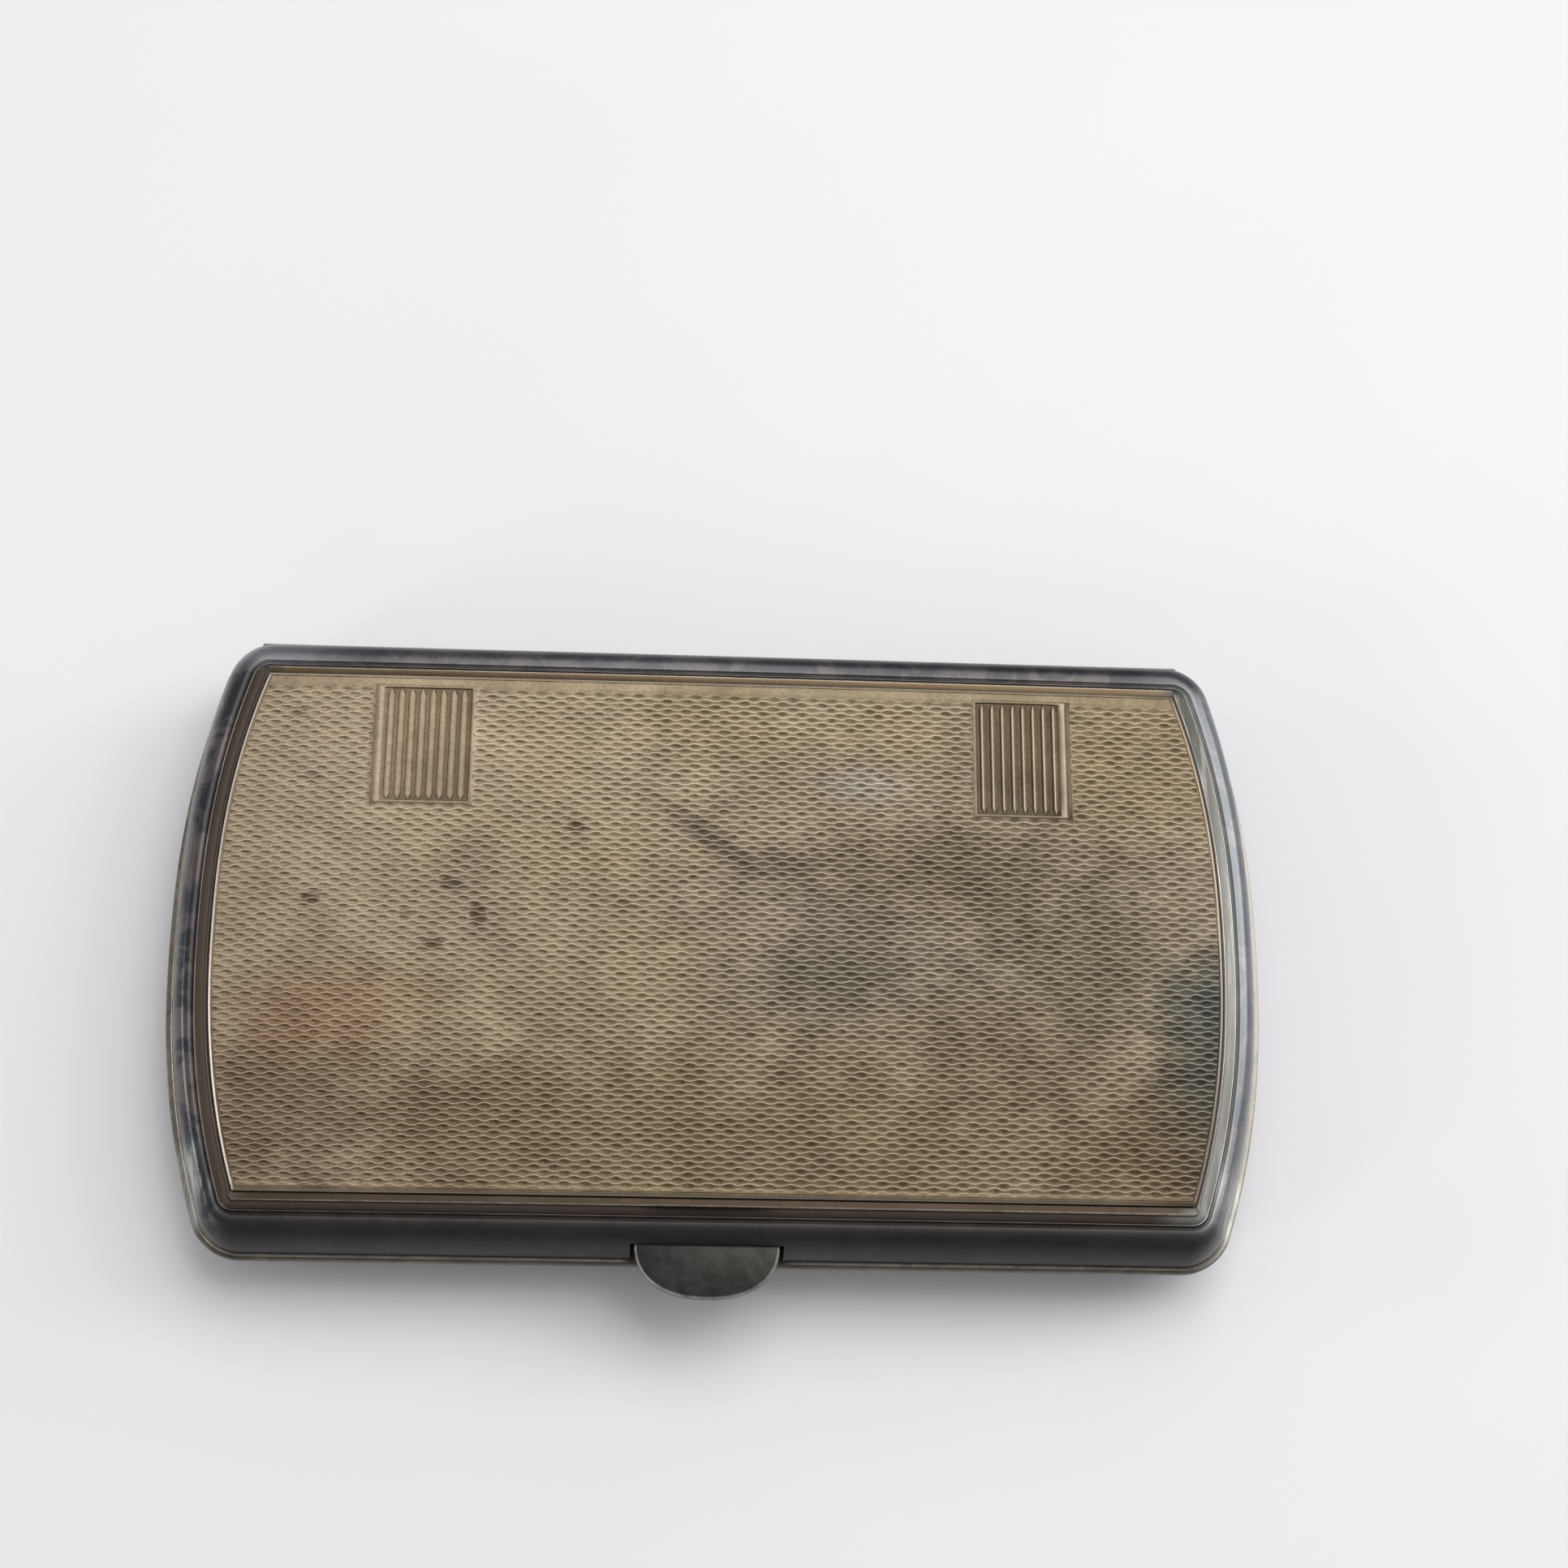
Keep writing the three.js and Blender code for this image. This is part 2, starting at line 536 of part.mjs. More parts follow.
// Thumb piece: stacked half-round levels, each [height above the seam, reach, half width].
function thumbPiece() {
  const half = THUMB_WIDTH / 2;
  const lipFoot = THUMB_TOP - THUMB_LIP_THICKNESS;
  const under = [];
  for (let i = 0; i <= THUMB_STEPS; i++) {
    const share = i / THUMB_STEPS;
    const up = THREE.MathUtils.lerp(THUMB_THROAT_HEIGHT, lipFoot, share);
    const flare = Math.pow(share, THUMB_THROAT_CURVE);
    under.push([up, THREE.MathUtils.lerp(THUMB_THROAT, THUMB_REACH - THUMB_CHAMFER, flare), half]);
  }
  const levels = [
    [THUMB_BOTTOM, FRONT_LIP, half],
    ...under,
    [lipFoot + THUMB_CHAMFER, THUMB_REACH, half],
    [THUMB_TOP - THUMB_CHAMFER, THUMB_REACH, half],
    [THUMB_TOP, THUMB_REACH - THUMB_CHAMFER, half - THUMB_CHAMFER],
  ];
  const rings = levels.map(([up, reach, width]) => {
    const ring = [];
    for (let i = 0; i <= THUMB_ARC_STEPS; i++) {
      const turn = (Math.PI * i) / THUMB_ARC_STEPS;
      const bulge = (share) => Math.sign(share) * Math.pow(Math.abs(share), 2 / THUMB_ROUNDNESS);
      const out = THUMB_BLOCK_INNER + (reach - THUMB_BLOCK_INNER) * bulge(Math.sin(turn));
      ring.push(new THREE.Vector3(-width * bulge(Math.cos(turn)), -PANEL_HALF_DEPTH - out, SEAM + up));
    }
    return ring;
  });
  const triangles = [];
  for (let i = 0; i + 1 < rings.length; i++) {
    rings[i].forEach((point, j) => {
      const k = (j + 1) % rings[i].length;
      triangles.push([point, rings[i][k], rings[i + 1][k]], [point, rings[i + 1][k], rings[i + 1][j]]);
    });
  }
  const [bottom, top] = [rings[0], rings[rings.length - 1]];
  for (let j = 1; j + 1 < bottom.length; j++) {
    triangles.push([bottom[0], bottom[j + 1], bottom[j]], [top[0], top[j], top[j + 1]]);
  }
  const neck = block([-NECK_WIDTH / 2, NECK_WIDTH / 2],
    [-PANEL_HALF_DEPTH - COVER_LIP + FIT_GAP, -PANEL_HALF_DEPTH - HOOK_OUTER - FIT_GAP],
    [SEAM + NECK_BOTTOM, SEAM + NECK_TOP]);
  return closedSolid(triangles).add(neck).translate([CATCH_CENTRE_X, 0, 0]);
}

function catchHook() {
  const [stem, wing] = [HOOK_STEM_WIDTH / 2, HOOK_WING_WIDTH / 2];
  const wingTop = NOSE_BOTTOM + NOSE_HEIGHT;
  const foot = SPRING_TOP - SPRING_HEIGHT;
  const face = [
    [-stem, foot], [stem, foot], [stem, NECK_BOTTOM], [wing, NECK_BOTTOM], [wing, wingTop], [stem, wingTop],
    [stem, NECK_TOP], [-stem, NECK_TOP], [-stem, wingTop], [-wing, wingTop],
    [-wing, NECK_BOTTOM], [-stem, NECK_BOTTOM],
  ].map(([x, up]) => [x, SEAM + up]);
  const outer = -PANEL_HALF_DEPTH - HOOK_OUTER;
  const tip = -PANEL_HALF_DEPTH - KEEPER_INNER - NOSE_GRIP;
  const noseSection = [
    [outer + HOOK_THICKNESS / 2, SEAM + NOSE_BOTTOM], [tip, SEAM + NOSE_BOTTOM],
    [tip, SEAM + NOSE_BOTTOM + FIT_GAP], [outer, SEAM + wingTop],
    [outer + HOOK_THICKNESS / 2, SEAM + wingTop],
  ];
  const leftNose = extrudeX(noseSection, [-wing, -wing + NOSE_WIDTH]);
  const rightNose = extrudeX(noseSection, [wing - NOSE_WIDTH, wing]);
  const plateAndNoses = extrudeY(face, [outer, outer + HOOK_THICKNESS]).add(leftNose).add(rightNose);
  return plateAndNoses.translate([CATCH_CENTRE_X, 0, 0]);
}

function catchKeeper(side) {
  const middle = CATCH_CENTRE_X + side * (HOOK_WING_WIDTH - NOSE_WIDTH) / 2;
  return block([middle - KEEPER_WIDTH / 2, middle + KEEPER_WIDTH / 2],
    [-PANEL_HALF_DEPTH - FLANGE_INNER, -PANEL_HALF_DEPTH - KEEPER_INNER],
    [SEAM + KEEPER_BOTTOM, SEAM + KEEPER_TOP]);
}

function rivetHeight() {
  return SEAM + SPRING_TOP - SPRING_HEIGHT / 2;
}

function catchSpring() {
  const y = [-PANEL_HALF_DEPTH - SPRING_OUTER, -PANEL_HALF_DEPTH - SPRING_OUTER + SPRING_THICKNESS];
  const leaf = block([-SPRING_LENGTH / 2, SPRING_LENGTH / 2], y,
    [SEAM + SPRING_TOP - SPRING_HEIGHT, SEAM + SPRING_TOP]);
  const through = [y[0] - 1, y[1] + 1];
  const holes = [-RIVET_X, RIVET_X].map((x) => barY(x, rivetHeight(), RIVET_SHANK + FIT_GAP, through));
  return leaf.subtract(holes[0]).subtract(holes[1]).translate([CATCH_CENTRE_X, 0, 0]);
}

// A domed head inside the leaf and a shank that ends inside the bezel's hole.
function catchRivet(x) {
  const seat = HOOK_OUTER;
  const end = BEZEL_OUTER;
  const profile = [
    [0, -seat + RIVET_HEAD_HEIGHT],
    [RIVET_HEAD / 2, -seat + RIVET_HEAD_HEIGHT],
    [RIVET_HEAD, -seat + RIVET_HEAD_HEIGHT / 2],
    [RIVET_HEAD, -seat],
    [RIVET_SHANK, -seat],
    [RIVET_SHANK, -end],
    [0, -end],
  ].map(([radius, y]) => new THREE.Vector2(radius, y));
  const geometry = new THREE.LatheGeometry(profile.reverse(), BORE_SIDES);
  geometry.translate(CATCH_CENTRE_X + x, -PANEL_HALF_DEPTH, rivetHeight());
  return solidOf(geometry);
}

// Bands and clips: the band's end is crimped in a hairpin of sheet on the end wall.

function clipHeight() {
  return 2 * CLIP_SHEET + BAND_THICKNESS + 2 * FIT_GAP;
}

function bandClip(side, wallOut, top) {
  const outer = HALF_LENGTH + wallOut - FIT_GAP;
  const inner = outer - CLIP_SHEET;
  const tip = inner - CLIP_LEAF + CLIP_SHEET;
  const foot = top - clipHeight();
  const points = [
    [outer, foot], [outer, top], [tip, top], [tip, top - CLIP_SHEET], [inner, top - CLIP_SHEET],
    [inner, foot + CLIP_SHEET], [tip, foot + CLIP_SHEET], [tip, foot],
  ].map(([x, up]) => [side * x, SEAM + up]);
  return extrudeY(points, [-CLIP_WIDTH / 2, CLIP_WIDTH / 2]);
}

function band(wallOut, top) {
  const half = HALF_LENGTH + wallOut - CLIP_SHEET - 2 * FIT_GAP;
  const bandTop = SEAM + top - CLIP_SHEET - FIT_GAP;
  return block([-half, half], [-BAND_WIDTH / 2, BAND_WIDTH / 2], [bandTop - BAND_THICKNESS, bandTop]);
}

// Assembly

const COVER_CLIP_WALL = COVER_WALL - END_NARROWING - SHEET + FIT_GAP - CLIP_WALL_GAP;
const COVER_CLIP_TOP = BEZEL_RISE + FIT_GAP + clipHeight();

function piece(name, solid, finish) {
  const mesh = new THREE.Mesh(geometryOf(solid), new THREE.MeshStandardMaterial(finish));
  mesh.name = name;
  return mesh;
}

const base = new THREE.Group();
const cover = new THREE.Group();
const thumbCatch = new THREE.Group();

base.add(piece('base_frame', baseFrame(), SILVER));
base.add(piece('base_panel', plate(BASE_HEIGHT, BASE_SIDE_STEPS, basePlace), ENGRAVED));
base.add(piece('base_bezel', baseBezel(), GILT));
base.add(piece('base_hinge_bearer', hingeBearer(-1), SILVER));
cover.add(piece('cover_frame', coverFrame(), SILVER));
cover.add(piece('cover_panel', coverPanel(), ENGRAVED));
cover.add(piece('cover_hinge_bearer', hingeBearer(1), SILVER));

for (let i = 0; i < KNUCKLE_COUNT; i++) {
  const onBase = i % 2 === 0;
  const number = Math.floor(i / 2) + 1;
  const name = (onBase ? 'base_knuckle_' : 'cover_knuckle_') + number;
  (onBase ? base : cover).add(piece(name, knuckle(i), SILVER));
}
base.add(piece('hinge_pin', hingePin(), STEEL));

base.add(piece('catch_spring', catchSpring(), STEEL));
thumbCatch.add(piece('thumb_piece', thumbPiece(), SILVER));
thumbCatch.add(piece('catch_hook', catchHook(), STEEL));

for (const [side, word] of [[-1, 'left'], [1, 'right']]) {
  base.add(piece('catch_rivet_' + word, catchRivet(side * RIVET_X), STEEL));
  cover.add(piece('catch_keeper_' + word, catchKeeper(side), STEEL));
  base.add(piece('base_band_clip_' + word, bandClip(side, BEZEL_INNER, BASE_CLIP_TOP), GILT));
  cover.add(piece('cover_band_clip_' + word, bandClip(side, COVER_CLIP_WALL, COVER_CLIP_TOP), GILT));
}
base.add(piece('base_band', band(BEZEL_INNER, BASE_CLIP_TOP), ELASTIC));
cover.add(piece('cover_band', band(COVER_CLIP_WALL, COVER_CLIP_TOP), ELASTIC));

const cigaretteCase = new THREE.Group();
cigaretteCase.add(base, thumbCatch, cover);

export default cigaretteCase;
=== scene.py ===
"""A flat silver cigarette case with tarnished mouldings and engine-turned plates, on a pale cloth."""

import math

import bmesh
import bpy
import numpy as np
from mathutils import Matrix, Vector


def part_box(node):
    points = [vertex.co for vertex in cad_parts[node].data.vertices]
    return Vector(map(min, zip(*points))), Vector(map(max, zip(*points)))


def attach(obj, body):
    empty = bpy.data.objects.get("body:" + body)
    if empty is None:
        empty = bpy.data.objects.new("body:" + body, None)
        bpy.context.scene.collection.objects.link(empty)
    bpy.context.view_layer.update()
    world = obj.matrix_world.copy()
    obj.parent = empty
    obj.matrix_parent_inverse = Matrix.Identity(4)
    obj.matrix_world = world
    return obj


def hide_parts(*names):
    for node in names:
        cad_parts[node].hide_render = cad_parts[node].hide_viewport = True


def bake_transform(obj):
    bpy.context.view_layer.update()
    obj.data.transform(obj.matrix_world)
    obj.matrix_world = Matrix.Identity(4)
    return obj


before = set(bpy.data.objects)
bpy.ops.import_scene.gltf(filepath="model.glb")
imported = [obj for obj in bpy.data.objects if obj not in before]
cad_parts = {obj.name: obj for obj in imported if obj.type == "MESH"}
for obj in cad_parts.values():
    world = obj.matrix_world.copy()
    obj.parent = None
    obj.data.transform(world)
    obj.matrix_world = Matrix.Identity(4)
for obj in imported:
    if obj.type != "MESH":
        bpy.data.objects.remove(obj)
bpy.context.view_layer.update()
MM = 0.001

# Camera: it stands close over the front of the case, a little to its left, and leans a little,
# so that the long sides run down to the right in the picture. The picture is square.
CAMERA_ELEVATION = math.radians(69.91)
CAMERA_AZIMUTH = math.radians(-9.23)
CAMERA_LEAN = math.radians(10.13)
CAMERA_DISTANCE = 338.6 * MM
CAMERA_TARGET = Vector((7.52, 19.53, 16.2)) * MM
CAMERA_LENS = 62.26

away = Vector((
    math.sin(CAMERA_AZIMUTH) * math.cos(CAMERA_ELEVATION),
    -math.cos(CAMERA_AZIMUTH) * math.cos(CAMERA_ELEVATION),
    math.sin(CAMERA_ELEVATION)))
level = Vector((math.cos(CAMERA_AZIMUTH), math.sin(CAMERA_AZIMUTH), 0))
upright = away.cross(level)
across = level * math.cos(CAMERA_LEAN) + upright * math.sin(CAMERA_LEAN)
upward = upright * math.cos(CAMERA_LEAN) - level * math.sin(CAMERA_LEAN)
camera_data = bpy.data.cameras.new("camera")
camera_data.lens = CAMERA_LENS
camera_data.sensor_width = 36
camera_data.clip_start = 0.01
camera = bpy.data.objects.new("camera", camera_data)
camera.matrix_world = Matrix.Translation(CAMERA_TARGET + away * CAMERA_DISTANCE) @ Matrix(
    (across, upward, away)).transposed().to_4x4()
bpy.context.scene.collection.objects.link(camera)
bpy.context.scene.camera = camera
bpy.context.scene.view_settings.view_transform = "Standard"

# Floor and light: bleached cotton cloth under a wide soft lamp behind the case and smaller ones at
# its sides. The room is pale behind the case and dark towards the viewer, and the metal mirrors it.
CLOTH_SIZE = 3.0


def tone(text):
    """The linear colour of an sRGB hex value."""
    parts = [int(text[i:i + 2], 16) / 255 for i in (1, 3, 5)]
    linear = [c / 12.92 if c <= 0.04045 else ((c + 0.055) / 1.055) ** 2.4 for c in parts]
    return (*linear, 1.0)


def add(tree, kind, inputs=None, **settings):
    """Adds a node with its settings, its values and its links, and returns it."""
    made = tree.nodes.new(kind)
    for name, value in settings.items():
        setattr(made, name, value)
    for key, value in (inputs or {}).items():
        if isinstance(value, bpy.types.NodeSocket):
            tree.links.new(value, made.inputs[key])
        else:
            made.inputs[key].default_value = value
    return made


def new_material(name):
    """A material that holds only its output node."""
    material = bpy.data.materials.new(name)
    material.use_nodes = True
    material.node_tree.nodes.clear()
    return material, material.node_tree


def cotton_cloth():
    """Bleached cotton, ironed: matt, without a sheen, with faint soft patches of painted shade in its tone,
    standing in for creases.
    """
    material, tree = new_material("bleached_cotton")
    place = add(tree, "ShaderNodeTexCoord").outputs["Object"]
    painted_crease_shade = add(tree, "ShaderNodeTexNoise", {"Vector": place, "Scale": 9.0, "Detail": 3.0})
    colour = add(tree, "ShaderNodeMix", {
        0: painted_crease_shade.outputs["Fac"], 6: tone("#ECEBEC"), 7: tone("#F5F4F4")}, data_type="RGBA")
    shader = add(tree, "ShaderNodeBsdfPrincipled", {
        "Base Color": colour.outputs[2], "Roughness": 0.95, "Specular IOR Level": 0.1})
    add(tree, "ShaderNodeOutputMaterial", {"Surface": shader.outputs[0]})
    return material


cloth_mesh = bpy.data.meshes.new("cloth")
half_cloth = CLOTH_SIZE / 2
cloth_mesh.from_pydata([
    (-half_cloth, -half_cloth, 0), (half_cloth, -half_cloth, 0),
    (half_cloth, half_cloth, 0), (-half_cloth, half_cloth, 0)], [], [(0, 1, 2, 3)])
cloth_mesh.materials.append(cotton_cloth())
cloth = bpy.data.objects.new("cloth", cloth_mesh)
bpy.context.scene.collection.objects.link(cloth)


def lamp(name, place, size, power):
    """A soft rectangular lamp that faces the case."""
    data = bpy.data.lights.new(name, "AREA")
    data.shape = "RECTANGLE"
    data.size, data.size_y = size
    data.energy = power
    made = bpy.data.objects.new(name, data)
    made.location = place
    made.rotation_mode = "QUATERNION"
    made.rotation_quaternion = Vector(place).to_track_quat("Z", "Y")
    bpy.context.scene.collection.objects.link(made)


lamp("back_lamp", (0.28, 0.46, 1.04), (0.95, 0.75), 5.85)
lamp("right_lamp", (0.92, 0.35, 0.5), (0.5, 0.85), 4.0)
lamp("left_lamp", (-1.1, 0.1, 0.38), (0.35, 0.3), 1.1)
lamp("left_front_lamp", (-0.88, -0.57, 0.38), (0.2, 0.24), 1.3)

world = bpy.data.worlds.new("studio")
world.use_nodes = True
room = world.node_tree
room.nodes.clear()
facing = add(room, "ShaderNodeTexCoord").outputs["Generated"]
toward_back = add(room, "ShaderNodeVectorMath", {
    0: facing, 1: (0.3, 0.9, 0.3)}, operation="DOT_PRODUCT")
share = add(room, "ShaderNodeMapRange", {
    "Value": toward_back.outputs["Value"], "From Min": -0.2, "From Max": 0.6,
    "To Min": 0.29, "To Max": 0.66})
plain = add(room, "ShaderNodeLightPath").outputs["Is Camera Ray"]
room_glow = add(room, "ShaderNodeBackground", {
    "Color": tone("#FBFBFF"), "Strength": share.outputs["Result"]})
backdrop = add(room, "ShaderNodeBackground", {"Color": tone("#E6E6EA"), "Strength": 1.0})
seen = add(room, "ShaderNodeMixShader", {0: plain, 1: room_glow.outputs[0], 2: backdrop.outputs[0]})
add(room, "ShaderNodeOutputWorld", {"Surface": seen.outputs[0]})
bpy.context.scene.world = world

# Frames: each half's border is stamped from silver sheet and soldered at the corners. A shelf and a
# hollow ramp run round the plate, then a bead, a groove and a round moulding down to the lip.
PANEL_HALF_LENGTH = 57.0
PANEL_HALF_DEPTH = 32.7
END_BOW = 4.8
END_BOW_POWER = 2.3
HALF_LENGTH = PANEL_HALF_LENGTH + END_BOW
SEAM = 8.1
HALF_HEIGHT = 8.1
COVER_CROWN = 0.5
FIT_GAP = 0.3
SHEET = 0.8
PLATE = 0.8
SHELF_STEP = 0.5
RAMP_START = 0.45
RAMP_START_ON_SIDES = 1.0
RAMP_END = 1.85
RAMP_DROP = 1.6
RAMP_HOLLOW = 0.72
BEAD_WIDTH = 0.2
MOULDING_START = 2.65
MOULDING_TOP = 5.8
END_NARROWING = 0.3
FLANGE_INNER = 4.3
BORDER_SIZES = {
    # how far out the wall and the lip stand, the lip's height, how much wider the moulding is in front
    # and behind than at the ends, and how square it is behind
    "cover": (5.45, 5.8, 0.85, 0.6, 0.35, 2.8),
    "base": (5.95, 6.5, 1.4, 0.2, 0.0, 2.0),
}
SWELL = {"cover": 0.2, "base": 0.06}
SWELL_POWER = 1.5
CORNER_STEPS = 12
END_STEPS = 72
SIDE_STEPS = 60
CREASE_ANGLE = 32.0


def end_reach(y):
    """How far the plate's bowed end stands out at the height y."""
    return PANEL_HALF_LENGTH + END_BOW * (1 - (np.abs(y) / PANEL_HALF_DEPTH) ** END_BOW_POWER)


def end_normal(y):
    """The outward direction of the bowed end, as an array of X and Y."""
    share = np.abs(y) / PANEL_HALF_DEPTH
    slope = END_BOW * END_BOW_POWER * share ** (END_BOW_POWER - 1) / PANEL_HALF_DEPTH
    normal = np.stack([np.ones_like(slope), np.sign(y) * slope], axis=-1)
    return normal / np.linalg.norm(normal, axis=-1, keepdims=True)


def end_crossing(y, out):
    """Where the end curve, moved outwards, crosses the height y."""
    foot = np.array(y, float)
    for _ in range(8):
        foot = y - out * end_normal(foot)[..., 1]
    return end_reach(foot) + out * end_normal(foot)[..., 0]


def border_ring(out, back_out, front_out, swell):
    """The plan of a line round the plate, at its own distance from the ends, the back and the front. It
    swells at the ends towards the back corners."""
    corner = math.atan2(*end_normal(np.array([PANEL_HALF_DEPTH]))[0][::-1])
    share = np.arange(CORNER_STEPS) / CORNER_STEPS
    turn = math.pi / 2 + (corner - math.pi / 2) * share
    bends = []
    for side, side_out in ((-1, front_out), (1, back_out)):
        end_out = out * (1 + swell) if side > 0 else out
        radius = side_out + (end_out - side_out) * share
        bends.append(np.stack([PANEL_HALF_LENGTH + radius * np.cos(turn),
                               side * (PANEL_HALF_DEPTH + radius * np.sin(turn))], -1))
    y = PANEL_HALF_DEPTH * np.linspace(-1, 1, END_STEPS + 1)
    swollen = out * (1 + swell * np.clip(y / PANEL_HALF_DEPTH, 0, 1) ** SWELL_POWER)
    end = np.stack([end_reach(y), y], -1) + swollen[:, None] * end_normal(y)
    right = np.concatenate([bends[0], end, bends[1][::-1]])
    left = right[::-1] * (-1, 1)
    step = np.arange(1, SIDE_STEPS)[:, None] / SIDE_STEPS
    back = right[-1] + (left[0] - right[-1]) * step
    front = left[-1] + (right[0] - left[-1]) * step
    return np.concatenate([right, back, left, front])


def cover_height(x, up):
    """The cover's middle stands a little higher than its ends."""
    return SEAM + up * (1 + COVER_CROWN / HALF_HEIGHT * np.maximum(0, 1 - (x / HALF_LENGTH) ** 2))


def base_height(x, up):
    """The base is the same form upside down, and flat."""
    return SEAM - up + 0 * x


def arc(centre, reach, first, last, steps):
    """Points on an ellipse between two turns in degrees."""
    turns = np.radians(np.linspace(first, last, steps))
    return [(centre[0] + reach[0] * math.cos(t), centre[1] + reach[1] * math.sin(t)) for t in turns]


def frame_profile(wall, lip, lip_height, front_widening, back_widening, back_power):
    """The section of a frame, and the number of its last outside point. Each point is the distance
    out at the ends, the height, the distances out behind and in front, and its marks: how soiled, how
    worn at the ends and on the long sides, how tan, and whether it is on the ramp."""
    shelf = HALF_HEIGHT - SHELF_STEP
    foot = shelf - RAMP_DROP
    bead, groove = RAMP_END, RAMP_END + BEAD_WIDTH
    inner_points = [
        (0.09, shelf - 0.12, 0.09, 0.9, 0, 0, 0, 0), (0.12, shelf - 0.03, 0.12, 0.6, 0, 0, 0.4, 0),
        (0.16, shelf, 0.2, 0.1, 0, 0.1, 1, 0), (0.34, shelf, 0.84, 0.1, 0, 0.1, 1, 0.5),
        (0.39, shelf + 0.01, 0.91, 0, 0, 0.9, 0.2, 1), (0.46, shelf - 0.03, 1.01, 0, 0, 0.9, 0, 1),
        (0.5, shelf - 0.12, 1.06, 0.3, 0, 0.1, 0, 1)]
    for share in np.linspace(0.1, 1, 12):
        up = shelf - 0.05 - (RAMP_DROP - 0.05) * share ** RAMP_HOLLOW
        out, side_out = (start + (bead - start) * share for start in (RAMP_START, RAMP_START_ON_SIDES))
        inner_points.append((out, up, side_out, 0.3 * share, 0, 0, 0, 1))
    inner_points += [(out, up, out, 0, 0.15, 0.15, 0, 1 - i / 5)
                     for i, (out, up) in enumerate(arc((bead + 0.1, foot - 0.02), (0.09, 0.05), 165, 20, 6))]
    inner_points += [(groove + out, foot - down, groove + out, soil, 0, 0, 0, 0) for out, down, soil in (
        (0.03, 0.1, 0.5), (0.1, 0.22, 0.75), (0.24, 0.26, 0.75), (0.38, 0.25, 0.75), (0.48, 0.2, 0.5))]
    points = [(out, up, side, side, *marks) for out, up, side, *marks in inner_points]

    def moulded(out, up, soil, wear, side_wear=None, sheet=0.0):
        """A point of the moulding, with its own distance out at the ends, behind and in front."""
        share = min(max((out - MOULDING_START) / (wall - MOULDING_START), 0), 1)
        rise = min(max((up - lip_height) / (MOULDING_TOP - sheet - lip_height), 0), 1)
        back_face = wall - sheet - MOULDING_START + back_widening
        back_curve = (1 - rise ** back_power) ** (1 / back_power)
        back_out = MOULDING_START + back_face * back_curve + max(0, out - wall)
        side_wear = wear if side_wear is None else side_wear
        return (out - END_NARROWING * share, up, back_out, out + front_widening * share,
                soil, wear, side_wear, 0, 0)

    spring_line = (MOULDING_START, lip_height)
    reach = (wall - MOULDING_START, MOULDING_TOP - lip_height)
    points += [moulded(out, up, max(0, 0.2 - i / 21), max(0, 0.2 - i / 8))
               for i, (out, up) in enumerate(arc(spring_line, reach, 90, 0, 22))]
    points += [moulded(wall + 0.04, lip_height - 0.03, 0.5, 0)]
    points += [moulded(out, up, 0, 0.9, 1.3)
               for out, up in arc((lip - 0.22, lip_height - 0.3), (0.22, 0.24), 84, 0, 5)]
    points += [moulded(out, up, 0.1, 0.6, 1.1) for out, up in arc((lip - 0.2, 0.2), (0.2, 0.2), 0, -90, 5)]
    outside = len(points) - 1
    bare = (0.3, 0, 0, 0, 0)
    points += [(FLANGE_INNER, up, FLANGE_INNER, FLANGE_INNER, *bare) for up in (0, 1.0, 1.02)]
    inner_reach = (wall - SHEET - MOULDING_START, MOULDING_TOP - SHEET - lip_height)
    first = math.degrees(math.asin((1.0 + SHEET) / MOULDING_TOP))
    points += [moulded(out, up, 0.3, 0, sheet=SHEET)
               for out, up in arc(spring_line, inner_reach, first, 90, 12)]
    ledge = HALF_HEIGHT - PLATE - FIT_GAP
    points += [(out, up, out, out, *bare) for out, up in (
        (bead, foot - SHEET - 0.15), (0.75, ledge - 0.7), (-1.4, ledge - 0.7), (-1.4, ledge), (0.09, ledge))]
    return points, outside


def ring_faces(rings, count, closed=False):
    """Faces between rings of equally many points. A closed shape goes on from its last ring to its
    first, and an open one has a face over each end."""
    faces = []
    for i in range(rings if closed else rings - 1):
        k = (i + 1) % rings
        for j in range(count):
            n = (j + 1) % count
            faces.append((i * count + j, i * count + n, k * count + n, k * count + j))
    if not closed:
        faces += [tuple(range(count))[::-1], tuple(range((rings - 1) * count, rings * count))]
    return faces


def link_mesh(name, points, faces, materials, slots=None, marks=None, sharp=CREASE_ANGLE):
    """Makes a mesh object from points in millimetres. Marks are values that its material reads."""
    mesh = bpy.data.meshes.new(name)
    mesh.from_pydata((np.asarray(points, float) * MM).tolist(), [], faces)
    for material in materials:
        mesh.materials.append(material)
    if slots is not None:
        mesh.polygons.foreach_set("material_index", np.asarray(slots, np.int32))
    for mark, values in (marks or {}).items():
        layer = mesh.attributes.new(mark, "FLOAT", "POINT")
        layer.data.foreach_set("value", np.asarray(values, np.float32))
    made = bpy.data.objects.new(name, mesh)
    bpy.context.scene.collection.objects.link(made)
    turn_outwards(made, sharp)
    return made


def turn_outwards(made, sharp):
    """Closes doubles, points every face out, and keeps edges sharper than an angle crisp."""
    work = bmesh.new()
    work.from_mesh(made.data)
    bmesh.ops.remove_doubles(work, verts=work.verts, dist=1e-8)
    bmesh.ops.dissolve_degenerate(work, edges=work.edges, dist=1e-8)
    bmesh.ops.recalc_face_normals(work, faces=work.faces)
    work.to_mesh(made.data)
    work.free()
    made.data.shade_smooth()
    made.data.set_sharp_from_angle(angle=math.radians(sharp))


